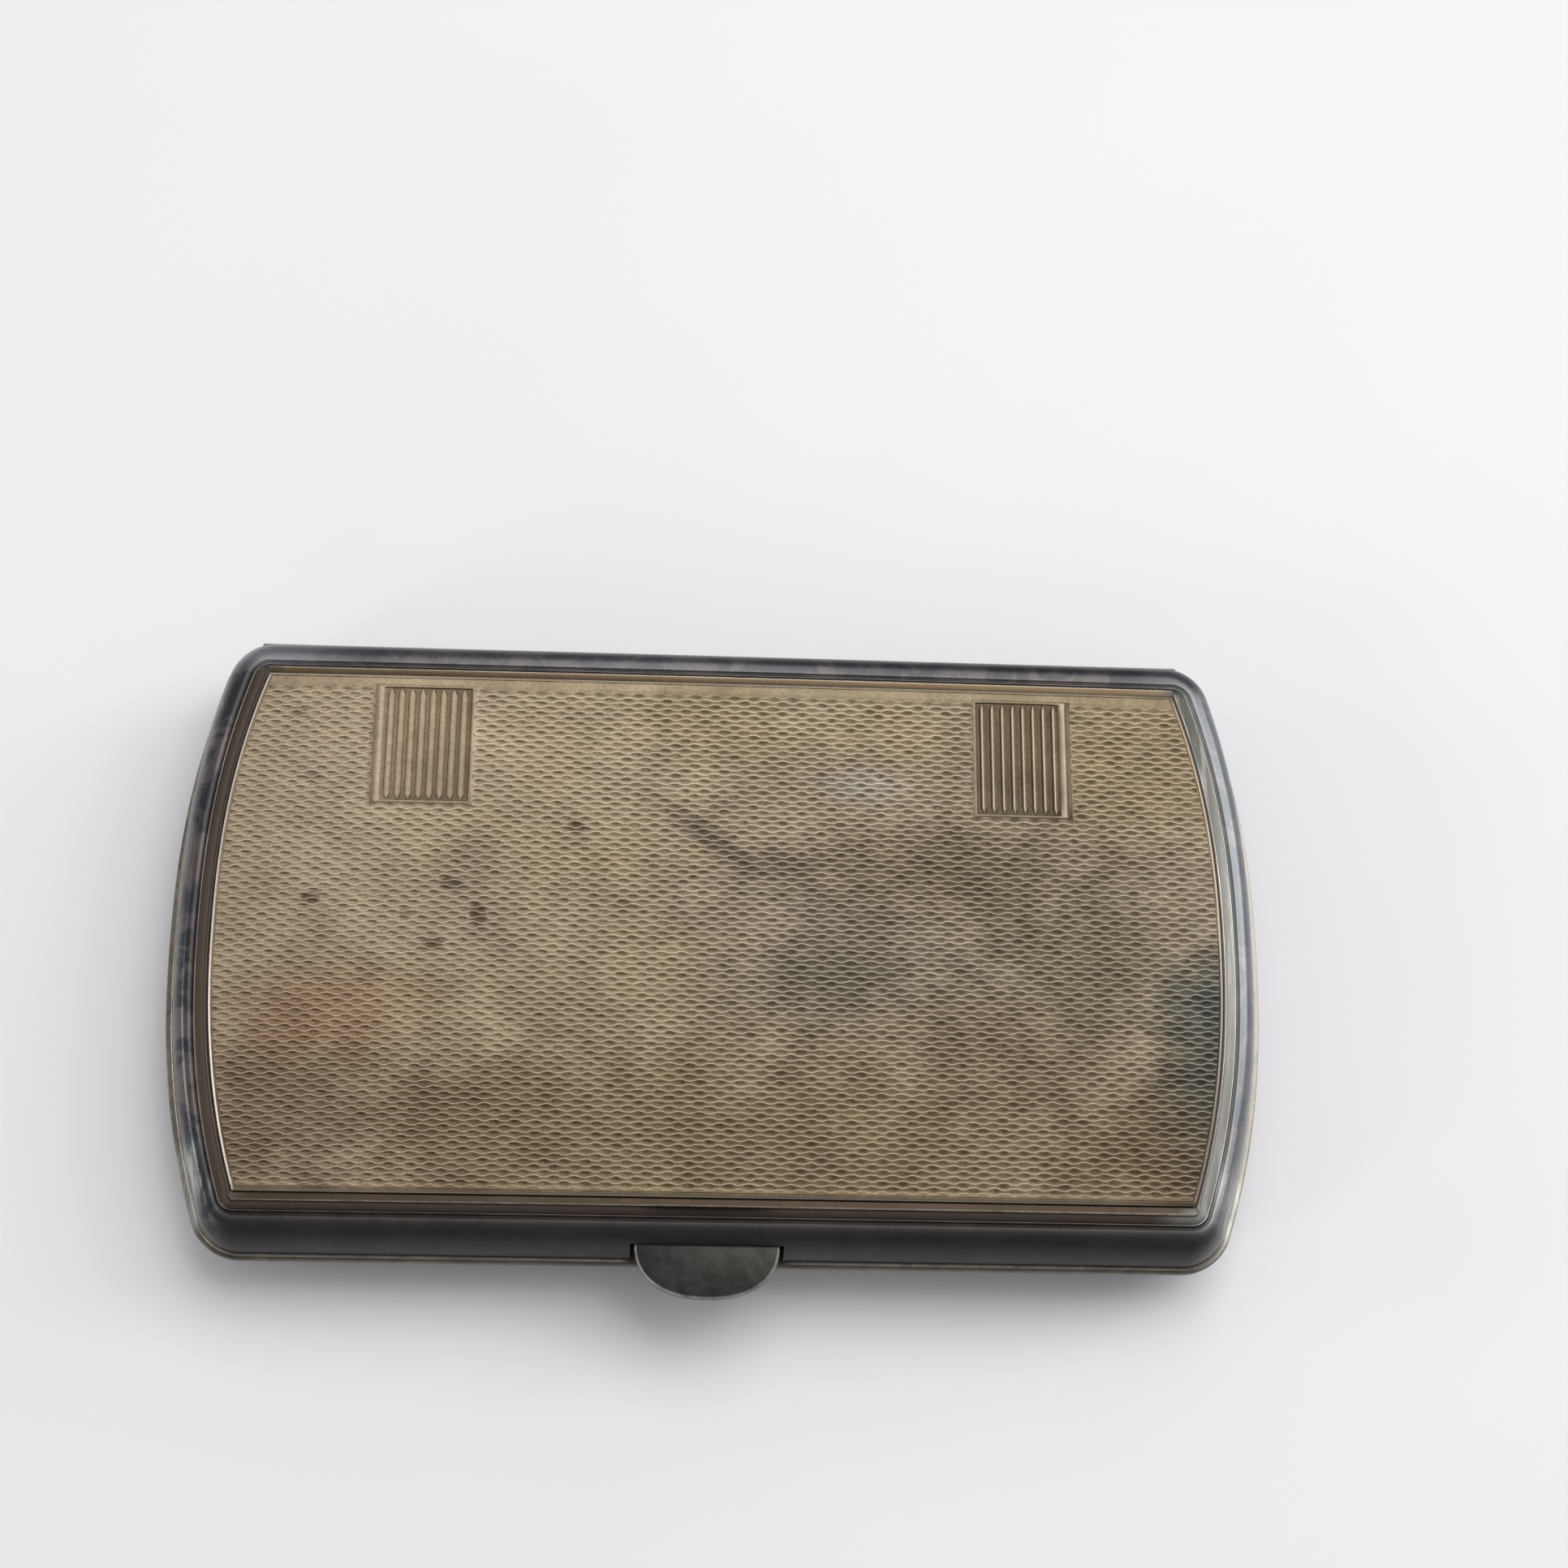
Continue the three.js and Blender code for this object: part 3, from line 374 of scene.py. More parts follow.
def apply_modifiers(made):
    """Turns the evaluated object into a plain mesh and removes its modifiers."""
    bpy.context.view_layer.update()
    finished = made.evaluated_get(bpy.context.evaluated_depsgraph_get())
    mesh = bpy.data.meshes.new_from_object(finished)
    made.modifiers.clear()
    made.data = mesh


def cut_box(made, low, high):
    """Cuts a box, given in millimetres, out of a piece."""
    low, high = np.array(low) * MM, np.array(high) * MM
    cutter_mesh = bpy.data.meshes.new("cutter")
    corners = [(x, y, z) for x in (0, 1) for y in (0, 1) for z in (0, 1)]
    cutter_mesh.from_pydata(
        [tuple(low + (high - low) * corner) for corner in corners], [],
        [(0, 1, 3, 2), (4, 6, 7, 5), (0, 4, 5, 1), (2, 3, 7, 6), (0, 2, 6, 4), (1, 5, 7, 3)])
    cutter = bpy.data.objects.new("cutter", cutter_mesh)
    bpy.context.scene.collection.objects.link(cutter)
    cut = made.modifiers.new("cut", "BOOLEAN")
    cut.object = cutter
    cut.solver = "EXACT"
    apply_modifiers(made)
    bpy.data.objects.remove(cutter)


def sweep_border(name, profile, outside, height, swell, materials):
    """Carries a section round the plate's edge and closes it. The shelf is tan on the long sides and
    holds dirt at the ends."""
    rings = []
    for out, up, back_out, front_out, *_ in profile:
        plan = border_ring(out, back_out, front_out, swell)
        rings.append(np.column_stack([plan, height(plan[:, 0], up)]))
    count = len(rings[0])
    slots = np.repeat([0 if i <= outside or i == len(rings) - 1 else 1 for i in range(len(rings))], count)
    points = np.concatenate(rings)
    soil, end_wear, side_wear, tan, ramp = (
        np.repeat([point[column] for point in profile], count) for column in range(4, 9))
    on_side = np.clip((PANEL_HALF_LENGTH + 0.3 - np.abs(points[:, 0])) / 0.6, 0, 1)
    marks = {
        "soil": np.maximum(soil, tan * (1 - on_side)), "wear": end_wear + (side_wear - end_wear) * on_side,
        "tan": tan * on_side, "ramp": ramp}
    return link_mesh(name, points, ring_faces(len(rings), count, closed=True), materials, slots, marks)


def oval_distance(tree, place, x, y, half_width, half_depth, turn=0.0):
    """How far a place is from the middle of an oval, which is 1 on its edge."""
    local = add(tree, "ShaderNodeMapping", {
        "Vector": place, "Location": (x * MM, y * MM, 0), "Rotation": (0, 0, math.radians(turn)),
        "Scale": (half_width * MM, half_depth * MM, 1)}, vector_type="TEXTURE")
    flat = add(tree, "ShaderNodeVectorMath", {0: local.outputs[0], 1: (1, 1, 0)}, operation="MULTIPLY")
    return add(tree, "ShaderNodeVectorMath", {0: flat.outputs[0]}, operation="LENGTH").outputs["Value"]


RUBBED_CORNERS_WITH_PAINTED_REFLECTION = [
    # x, y, half width, half depth and strength of the places where fingers rubbed the tarnish off, which also
    # carry a painted reflection
    (-63.5, -31.5, 4.5, 6.5, 0.8),
    (62.5, -31.5, 4.0, 6.0, 0.4),
]


def tarnished_silver(name, dark, patches, sheen, polish, front, right_ramp_reflection, glint):
    """Sterling silver, polished once and left to tarnish: glossy blue-grey under torn patches of pinkish
    grey, and brown in the ramp. It is nearly black in front, partly tarnish and partly painted shade of
    the side that faces the dark room. The right end is painted lighter and bluish, and the ramp's right
    end pale with painted glints, as a painted reflection of the light from the right. The back moulding
    has painted light at its left and painted shade at its right, and the rubbed front corners a pale
    painted reflection."""
    material, tree = new_material(name)
    place = add(tree, "ShaderNodeTexCoord").outputs["Object"]
    parts = add(tree, "ShaderNodeSeparateXYZ", {0: place}).outputs
    x, y = parts["X"], parts["Y"]
    soil, wear, tan, ramp = (add(tree, "ShaderNodeAttribute", attribute_name=mark).outputs["Fac"]
                             for mark in ("soil", "wear", "tan", "ramp"))
    cloud = add(tree, "ShaderNodeTexNoise", {
        "Vector": place, "Scale": 150.0, "Detail": 6.0, "Roughness": 0.62, "Distortion": 0.8}).outputs["Fac"]
    patch = add(tree, "ShaderNodeTexNoise", {
        "Vector": place, "Scale": 420.0, "Detail": 6.0, "Roughness": 0.7, "Distortion": 0.5}).outputs["Fac"]
    speck = add(tree, "ShaderNodeTexNoise", {"Vector": place, "Scale": 1500.0, "Detail": 3.0}).outputs["Fac"]
    drawn_out = add(tree, "ShaderNodeMapping", {
        "Vector": place, "Scale": (1.0, 0.12, 1.0)}, vector_type="POINT").outputs[0]
    streak = add(tree, "ShaderNodeTexNoise", {
        "Vector": drawn_out, "Scale": 700.0, "Detail": 4.0}).outputs["Fac"]
    off_middle = add(tree, "ShaderNodeMath", {0: x}, operation="ABSOLUTE").outputs[0]
    share = {}
    for key, value, first, last, least, most in (
            # what a place has a share of, the value that it follows, from where to where, and how much
            ("patches", cloud, 0.49, 0.55, 0, 1),
            ("sheen", patch, 0.5, 0.66, 0, 0.6),
            ("right end", x, 52 * MM, 59 * MM, 0, 1),
            # the pale ramp and the glints are a painted reflection and painted glints of the light from the
            # right
            ("painted ramp reflection", y, 29 * MM, 6 * MM, 0, 1),
            ("glints", streak, 0.48, 0.68, 0, 0.6),
            ("front", y, -33.6 * MM, -35.6 * MM, 0, 0.92),
            ("middle", off_middle, 63 * MM, 57 * MM, 0, 1),
            ("back", y, 33.5 * MM, 35.5 * MM, 0, 0.6),
            # painted light at the back's left end and painted shade along its right half
            ("painted light back left", x, -46 * MM, -60 * MM, 0, 1),
            ("painted shade back right", x, -5 * MM, 25 * MM, 0, 1),
            ("back edge", y, 37.0 * MM, 38.3 * MM, 0, 0.45),
            ("polish", patch, 0.35, 0.6, 0.45, 1),
            ("torn edge", streak, 0.34, 0.6, 0, 1),
            ("haze", patch, 0, 1, 0.14, 0.4)):
        share[key] = add(tree, "ShaderNodeMapRange", {
            "Value": value, "From Min": first, "From Max": last, "To Min": least, "To Max": most}).outputs[0]
    # A lighter bluish grey over the right end: painted reflection of the light from the right.
    right_end_painted_reflection = add(tree, "ShaderNodeMath", {0: share["right end"], 1: 0.4}, operation="MULTIPLY").outputs[0]
    # Nearly black along the front: partly tarnish, partly painted shade of the side that faces the dark room.
    # The same share makes it rougher.
    tarnish_and_painted_shade = add(tree, "ShaderNodeMath", {
        0: share["front"], 1: share["middle"]}, operation="MULTIPLY").outputs[0]
    dulled = add(tree, "ShaderNodeMath", {0: tarnish_and_painted_shade, 1: share["back"]}, operation="ADD").outputs[0]
    kept = add(tree, "ShaderNodeMath", {0: dulled, 1: -0.6, 2: 1.0}, operation="MULTIPLY_ADD").outputs[0]
    rubbed = add(tree, "ShaderNodeMath", {0: share["polish"], 1: wear}, operation="MULTIPLY").outputs[0]
    rubbed = add(tree, "ShaderNodeMath", {0: rubbed, 1: kept}, operation="MULTIPLY").outputs[0]
    shelf = add(tree, "ShaderNodeMath", {0: tan, 1: 0.9}, operation="MULTIPLY").outputs[0]
    behind = add(tree, "ShaderNodeMath", {0: y, 1: 0.0}, operation="GREATER_THAN").outputs[0]
    grime = add(tree, "ShaderNodeMath", {0: soil, 1: 0.8}, operation="MULTIPLY").outputs[0]
    off_ramp = add(tree, "ShaderNodeMath", {0: 1.0, 1: ramp}, operation="SUBTRACT").outputs[0]
    colour, pale, back_painted_light_and_shade, shelf_colour = (
        add(tree, "ShaderNodeMix", {0: over, 6: tone(first), 7: tone(second)}, data_type="RGBA").outputs[2]
        for over, first, second in (
            (share["patches"], dark, patches), (share["painted ramp reflection"], "#67685F", right_ramp_reflection),
            (share["painted light back left"], "#4A4B50", "#A09FA8"), (behind, "#33291E", "#62523D")))
    # The ramp's right end: a painted reflection of the light from the right, with painted glints.
    pale = add(tree, "ShaderNodeMix", {
        0: share["glints"], 6: pale, 7: tone(glint)}, data_type="RGBA").outputs[2]
    ramp_colour = add(tree, "ShaderNodeMix", {
        0: share["right end"], 6: tone("#5A4E44"), 7: pale}, data_type="RGBA").outputs[2]
    # The back moulding is painted lighter at its left and darker at its right: painted light and painted
    # shade.
    back_painted_light_and_shade = add(tree, "ShaderNodeMix", {
        0: share["painted shade back right"], 6: back_painted_light_and_shade, 7: tone("#303236")}, data_type="RGBA").outputs[2]
    layers = [
        (share["sheen"], tone(sheen)), (right_end_painted_reflection, tone("#949A9C")), (ramp, ramp_colour),
        (share["back"], back_painted_light_and_shade), (share["back edge"], tone("#8A7C70")), (tarnish_and_painted_shade, tone(front)),
        (rubbed, tone(polish)), (shelf, shelf_colour), (grime, tone("#2A231D"))]
    # Pale silver at the front corners: partly rubbed tarnish, partly a painted reflection.
    for corner_x, corner_y, half_width, half_depth, strength in RUBBED_CORNERS_WITH_PAINTED_REFLECTION:
        far = oval_distance(tree, place, corner_x, corner_y, half_width, half_depth)
        near = add(tree, "ShaderNodeMapRange", {
            "Value": far, "From Min": 0.3, "From Max": 1.0, "To Min": strength, "To Max": 0.0},
            interpolation_type="SMOOTHSTEP").outputs[0]
        bare = add(tree, "ShaderNodeMath", {0: near, 1: share["torn edge"]}, operation="MULTIPLY").outputs[0]
        bare = add(tree, "ShaderNodeMath", {0: bare, 1: off_ramp}, operation="MULTIPLY").outputs[0]
        layers.append((bare, tone("#C8CCC3")))
    for over, layer in layers:
        colour = add(tree, "ShaderNodeMix", {0: over, 6: colour, 7: layer}, data_type="RGBA").outputs[2]
    dull = add(tree, "ShaderNodeMath", {
        0: grime, 1: 0.2, 2: share["haze"]}, operation="MULTIPLY_ADD").outputs[0]
    dull = add(tree, "ShaderNodeMath", {0: tarnish_and_painted_shade, 1: 0.25, 2: dull}, operation="MULTIPLY_ADD").outputs[0]
    rough = add(tree, "ShaderNodeBump", {"Strength": 0.2, "Distance": 0.05 * MM, "Height": speck})
    shader = add(tree, "ShaderNodeBsdfPrincipled", {
        "Base Color": colour, "Metallic": 1.0, "Roughness": dull, "Normal": rough.outputs[0]})
    add(tree, "ShaderNodeOutputMaterial", {"Surface": shader.outputs[0]})
    return material


def worn_gilding():
    """A thin gold wash inside the case, to keep the silver from the tobacco: pale warm gold with
    greyer silver showing where it has worn through."""
    material, tree = new_material("worn_gold_wash")
    place = add(tree, "ShaderNodeTexCoord").outputs["Object"]
    cloud = add(tree, "ShaderNodeTexNoise", {
        "Vector": place, "Scale": 55.0, "Detail": 6.0, "Roughness": 0.6}).outputs["Fac"]
    fine = add(tree, "ShaderNodeTexNoise", {"Vector": place, "Scale": 900.0, "Detail": 3.0}).outputs["Fac"]
    worn = add(tree, "ShaderNodeMapRange", {"Value": cloud, "From Min": 0.45, "From Max": 0.68}).outputs[0]
    haze = add(tree, "ShaderNodeMapRange", {"Value": fine, "To Min": 0.22, "To Max": 0.42}).outputs[0]
    colour = add(tree, "ShaderNodeMix", {
        0: worn, 6: tone("#C3AB79"), 7: tone("#A79D8A")}, data_type="RGBA").outputs[2]
    shader = add(tree, "ShaderNodeBsdfPrincipled", {
        "Base Color": colour, "Metallic": 1.0, "Roughness": haze})
    add(tree, "ShaderNodeOutputMaterial", {"Surface": shader.outputs[0]})
    return material


# The border's ramp has a painted pale reflection and painted glints at its right end; the base rim's is its
# plain brown.
border_silver = tarnished_silver(
    "tarnished_silver_border", dark="#404347", patches="#665F5F", sheen="#706D6D", polish="#B5AB9A",
    front="#423F3E", right_ramp_reflection="#AAAAA1", glint="#E2E2DA")
rim_silver = tarnished_silver(
    "tarnished_silver_base_rim", dark="#434039", patches="#5C554B", sheen="#5F6160", polish="#A89E90",
    front="#4A413C", right_ramp_reflection="#5A4E44", glint="#5A4E44")
gilding = worn_gilding()

SEAT_HALF_LENGTH = 59.5
SEAT_CLEARANCE = 1.45
HINGE_Y = 38.65
CATCH_CENTRE = -1.1
THUMB_WIDTH = 17.4
NOTCH_HALF_WIDTH = THUMB_WIDTH / 2 + 0.45
NOTCH_INNER = PANEL_HALF_DEPTH + 3.4
NOTCH_TOP = 4.75
BASE_BACK_FACE = PANEL_HALF_DEPTH + 5.8
PAST_ENDS = 80
PAST_WALLS = PANEL_HALF_DEPTH + 13

borders = {}
for body, height, silver in (("cover", cover_height, border_silver), ("base", base_height, rim_silver)):
    profile, outside = frame_profile(*BORDER_SIZES[body])
    borders[body] = sweep_border(f"{body}_border", profile, outside, height, SWELL[body], [silver, gilding])
    cut_box(borders[body], (-SEAT_HALF_LENGTH, PANEL_HALF_DEPTH, SEAM - SEAT_CLEARANCE),
            (SEAT_HALF_LENGTH, HINGE_Y + 4, SEAM + SEAT_CLEARANCE))
cut_box(borders["cover"], (CATCH_CENTRE - NOTCH_HALF_WIDTH, -PAST_WALLS, SEAM - 1),
        (CATCH_CENTRE + NOTCH_HALF_WIDTH, -NOTCH_INNER, SEAM + NOTCH_TOP))
cut_box(borders["base"], (-PAST_ENDS, BASE_BACK_FACE, SEAM - SEAT_CLEARANCE),
        (PAST_ENDS, PAST_WALLS, SEAM + 1))
for body, border in borders.items():
    turn_outwards(border, CREASE_ANGLE)
    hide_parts(f"{body}_frame")
    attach(border, body)

# Plates: sheet silver, engine turned on a straight-line machine. Wavy ridges run along the case, and
# each is half a wave out of step with the next, so that the cuts between them swell into barleycorns.
ROW_PITCH = 0.66
WAVE_LENGTH = 2.43
WAVE_HEIGHT = 0.115
CUT_DEPTH = 0.12
FIELD_INSET = 0.55
FIELD_FRONT = -31.8
FIELD_ROWS = 95
FIELD_COLUMNS = 400
RIM_STEPS = [
    # how far out and down the rim goes from the field to the foot of the plate's edge, and its wear, which
    # also carries the edge's painted highlight
    (-0.5, 0.09, 0.0), (-0.42, 0.09, 0.0), (-0.37, 0.0, 0.0), (-0.3, 0.0, 0.35), (-0.02, 0.2, 1.0),
    (0.0, 0.24, 1.0), (0.0, PLATE, 0.0),
]
PANEL_RECTANGLE = (12.4, 15.7)
PANEL_CENTRES = (-37.45, 37.5)
PANEL_BACK = 31.4
BED_ROOM = 0.5
BED_FRONT_ROOM = 0.2
NEARLY = 0.01
LONG_SIDE_RUB = 0.3
CUT_ROUNDNESS = 1.3
# Moves the painted crest line behind each ridge's top, onto its lit back flank: a painted highlight.
CREST_SHIFT = 0.11


def inner_ring(out, along, up_the_end):
    """The front side and the right end of a line inside the plate's edge, at given shares of each."""
    depth = PANEL_HALF_DEPTH + out
    end_y = up_the_end * depth
    end = np.stack([end_crossing(end_y, out), end_y], -1)
    corner = float(end_crossing(np.array(depth), out))
    front = np.stack([along * corner, np.full_like(along, -depth)], -1)
    return front, end


def plate_blank(name, height, rectangles, materials):
    """A plate whose face is a grid of lines, every other one a ridge, inside a turned rim."""
    depth = PANEL_HALF_DEPTH - FIELD_INSET
    field_lines = np.arange(2 * FIELD_ROWS + 1)
    line_y = np.concatenate([[-depth], FIELD_FRONT + ROW_PITCH / 2 * field_lines, [PANEL_BACK, depth]])
    line = np.concatenate([[-1], field_lines, [-1, -1]])
    along = np.linspace(-1, 1, FIELD_COLUMNS + 1)
    reach = end_crossing(line_y, -FIELD_INSET)
    x = reach[:, None] * along[None, :]
    y = np.repeat(line_y[:, None], len(along), axis=1)
    field = np.ones_like(x) * (line >= 0)[:, None]
    field[[1, 2 * FIELD_ROWS + 1]] *= 0.5
    drop = np.zeros_like(x)
    bed_front = PANEL_BACK - PANEL_RECTANGLE[1]
    for centre in rectangles:
        low, high = centre - PANEL_RECTANGLE[0] / 2, centre + PANEL_RECTANGLE[0] / 2
        for row, height_y in enumerate(line_y):
            if not bed_front - NEARLY <= height_y <= PANEL_BACK + NEARLY:
                continue
            first, last = np.argmin(abs(x[row] - low)), np.argmin(abs(x[row] - high))
            x[row, first], x[row, last] = low, high
            field[row, first:last + 1] = 0
            if bed_front + BED_FRONT_ROOM < height_y < PANEL_BACK - NEARLY:
                drop[row, first + 1:last] = BED_ROOM
    rows, columns = x.shape
    total = rows * columns
    points = [np.stack([x, y, height(x, HALF_HEIGHT - drop)], -1).reshape(-1, 3)]
    bright = [np.zeros(total)]
    number = np.arange(total).reshape(rows, columns)
    faces = np.stack([number[:-1, :-1], number[:-1, 1:], number[1:, 1:], number[1:, :-1]], -1)
    faces = faces.reshape(-1, 4).tolist()
    slots = [0] * len(faces)
    loop = np.concatenate([number[0, :-1], number[:-1, -1], number[-1, :0:-1], number[:0:-1, 0]])
    for out, down, rub in RIM_STEPS:
        front, end = inner_ring(out, along, line_y / depth)
        ring = np.concatenate([front[:-1], end[:-1], (front * (1, -1))[:0:-1], (end * (-1, 1))[:0:-1]])
        points.append(np.column_stack([ring, height(ring[:, 0], HALF_HEIGHT - down)]))
        bright.append(np.full(len(ring), rub))
        fresh = np.arange(total, total + len(ring))
        total += len(ring)
        for j in range(len(ring)):
            n = (j + 1) % len(ring)
            faces.append((loop[j], fresh[j], fresh[n], loop[n]))
            slots.append(0)
        loop = fresh
    width, side = len(along) - 1, rows - 1
    front, right = loop[:width + 1], loop[width:width + side + 1]
    back = loop[width + side:2 * width + side + 1][::-1]
    left = np.concatenate([loop[2 * width + side:], loop[:1]])[::-1]
    for j in range(width):
        faces.append((front[j], back[j], back[j + 1], front[j + 1]))
        slots.append(1)
    for end in (right, left):
        for j in range(side // 2):
            faces.append((end[j], end[j + 1], end[side - j - 1], end[side - j]))
            slots.append(1)
    points, bright = np.concatenate(points), np.concatenate(bright)
    bright[np.abs(points[:, 1]) > PANEL_HALF_DEPTH - 0.4] *= LONG_SIDE_RUB
    spare = total - rows * columns
    marks = {
        "line": np.concatenate([np.repeat(line[:, None], columns, axis=1).ravel(), -np.ones(spare)]),
        "field": np.concatenate([field.ravel(), np.zeros(spare)]), "wear": bright}
    return link_mesh(name, points, faces, materials, slots, marks, 40.0)


def barleycorn_tree():
    """Moves the ridges along their wave and sinks the cuts between them, and marks how deep each is."""
    tree = bpy.data.node_groups.new("barleycorn_cut", "GeometryNodeTree")
    tree.interface.new_socket("Geometry", in_out="INPUT", socket_type="NodeSocketGeometry")
    for name in ("Row Pitch", "Wave Length", "Wave Height", "Cut Depth", "Cut Direction"):
        tree.interface.new_socket(name, in_out="INPUT", socket_type="NodeSocketFloat")
    tree.interface.new_socket("Geometry", in_out="OUTPUT", socket_type="NodeSocketGeometry")
    given = add(tree, "NodeGroupInput").outputs
    math_node = "ShaderNodeMath"
    line = add(tree, "GeometryNodeInputNamedAttribute", {"Name": "line"}, data_type="FLOAT").outputs[0]
    field = add(tree, "GeometryNodeInputNamedAttribute", {"Name": "field"}, data_type="FLOAT").outputs[0]
    position = add(tree, "GeometryNodeInputPosition").outputs[0]
    x = add(tree, "ShaderNodeSeparateXYZ", {0: position}).outputs[0]
    row = add(tree, math_node, {0: line, 1: 2.0}, operation="DIVIDE").outputs[0]
    row = add(tree, math_node, {0: row}, operation="FLOOR").outputs[0]
    waves = add(tree, math_node, {0: x, 1: given["Wave Length"]}, operation="DIVIDE").outputs[0]
    turns = add(tree, math_node, {0: row, 1: 0.5, 2: waves}, operation="MULTIPLY_ADD").outputs[0]
    turn = add(tree, math_node, {0: turns, 1: 2 * math.pi}, operation="MULTIPLY").outputs[0]
    swing = add(tree, math_node, {0: turn}, operation="COSINE").outputs[0]
    swing = add(tree, math_node, {0: swing, 1: given["Wave Height"]}, operation="MULTIPLY").outputs[0]
    odd = add(tree, math_node, {0: line, 1: 2.0}, operation="FLOORED_MODULO").outputs[0]
    even = add(tree, math_node, {0: 1.0, 1: odd}, operation="SUBTRACT").outputs[0]
    ridge = add(tree, math_node, {0: even, 1: field}, operation="MULTIPLY").outputs[0]
    groove = add(tree, math_node, {0: odd, 1: field}, operation="MULTIPLY").outputs[0]
    sway = add(tree, math_node, {0: swing, 1: ridge}, operation="MULTIPLY").outputs[0]
    half = add(tree, math_node, {0: given["Row Pitch"], 1: 0.5}, operation="MULTIPLY").outputs[0]
    room_left = add(tree, math_node, {0: half, 1: swing}, operation="SUBTRACT").outputs[0]
    widest = add(tree, math_node, {0: half, 1: given["Wave Height"]}, operation="ADD").outputs[0]
    part = add(tree, math_node, {0: room_left, 1: widest}, operation="DIVIDE").outputs[0]
    part = add(tree, math_node, {0: part, 1: CUT_ROUNDNESS}, operation="POWER").outputs[0]
    part = add(tree, math_node, {0: part, 1: groove}, operation="MULTIPLY").outputs[0]
    sink = add(tree, math_node, {0: part, 1: given["Cut Depth"]}, operation="MULTIPLY").outputs[0]
    sink = add(tree, math_node, {0: sink, 1: given["Cut Direction"]}, operation="MULTIPLY").outputs[0]
    move = add(tree, "ShaderNodeCombineXYZ", {1: sway, 2: sink}).outputs[0]
    marked = add(tree, "GeometryNodeStoreNamedAttribute", {
        "Geometry": given["Geometry"], "Name": "cut", "Value": part}, data_type="FLOAT", domain="POINT")
    moved = add(tree, "GeometryNodeSetPosition", {"Geometry": marked.outputs[0], "Offset": move})
    add(tree, "NodeGroupOutput", {"Geometry": moved.outputs[0]})
    return tree


def run_tree(made, tree, values):
    """Runs a node tree on an object with named values, and keeps the plain mesh."""
    modifier = made.modifiers.new(tree.name, "NODES")
    modifier.node_group = tree
    for item in tree.interface.items_tree:
        if item.in_out == "INPUT" and item.name in values:
            modifier[item.identifier] = values[item.name]
    apply_modifiers(made)


STAINS = [
    # x, y, half width, half depth, turn in degrees, strength, colour; the broad clouds come first
    (-40.0, 25.0, 32.0, 14.0, 0, 0.5, "#A08D76"),
    (30.0, 0.0, 40.0, 28.0, 0, 0.65, "#736A5A"),
    (5.0, -27.0, 85.0, 15.0, 0, 0.75, "#695940"),
    (-53.0, -23.0, 20.0, 14.0, 0, 0.8, "#675541"),
    (-30.0, -26.0, 18.0, 10.0, 0, 0.7, "#615039"),
    (-48.0, -11.0, 17.0, 8.0, 5, 0.65, "#805F45"),
    (-30.0, 3.0, 14.0, 10.0, 0, 0.45, "#776C5B"),
    (-10.0, -21.0, 20.0, 10.0, 0, 0.5, "#6C5D44"),
    (6.0, 6.0, 14.0, 9.0, 0, 0.35, "#70675A"),
    (20.0, -15.0, 22.0, 11.0, 0, 0.45, "#62563F"),
    (38.0, -14.0, 19.0, 11.0, 0, 0.55, "#5F523D"),
    (22.0, 8.0, 18.0, 10.0, 0, 0.65, "#5E533F"),
    (50.0, 5.0, 9.0, 13.0, 0, 0.4, "#6A604D"),
    (53.0, -27.0, 15.0, 11.0, 0, 0.75, "#574833"),
    (14.0, -3.0, 16.0, 10.0, 15, 0.75, "#554F45"),
    (36.0, 9.0, 17.0, 12.0, 20, 0.7, "#5A503E"),
    (43.0, -1.0, 15.0, 12.0, 0, 0.75, "#5A513F"),
    (-15.0, 27.0, 18.0, 9.0, 0, 0.45, "#8C7B62"),
    (0.0, 27.0, 15.0, 9.0, 0, 0.6, "#75654A"),
    (20.0, 27.0, 15.0, 8.0, 0, 0.55, "#85745A"),
    (50.0, 24.0, 18.0, 15.0, 0, 0.7, "#7D6C52"),
    (61.0, -9.0, 9.5, 12.0, 0, 0.95, "#343A3B"),
    (61.0, -19.0, 9.5, 15.0, 0, 0.9, "#3B3B35"),
    (18.0, 19.5, 7.0, 3.0, 0, 0.55, "#83807A"),
    (-1.5, 12.0, 10.0, 2.2, -33, 0.8, "#49433A"),
    (7.0, 9.0, 12.0, 1.6, -4, 0.4, "#4E453B"),
    (-50.3, 3.3, 1.9, 1.3, 0, 0.75, "#3A2C1C"),
    (-33.2, 5.4, 2.3, 1.4, 0, 0.7, "#3A2C1C"),
    (-29.8, 1.6, 1.6, 2.4, 20, 0.7, "#3A2C1C"),
    (-34.8, -2.3, 2.2, 1.5, 0, 0.7, "#3A2C1C"),
    (-38.6, 1.4, 1.5, 1.0, 0, 0.5, "#3A2C1C"),
    (-18.2, 13.1, 1.7, 1.2, 0, 0.65, "#3A2C1C"),
    (-12.2, 3.3, 1.4, 1.0, 0, 0.4, "#3A2C1C"),
    (-53.0, 27.5, 1.6, 1.2, 0, 0.5, "#574A3E"),
    (-51.0, 19.0, 1.5, 1.0, 0, 0.45, "#574A3E"),
]
SMALL_STAIN = 4


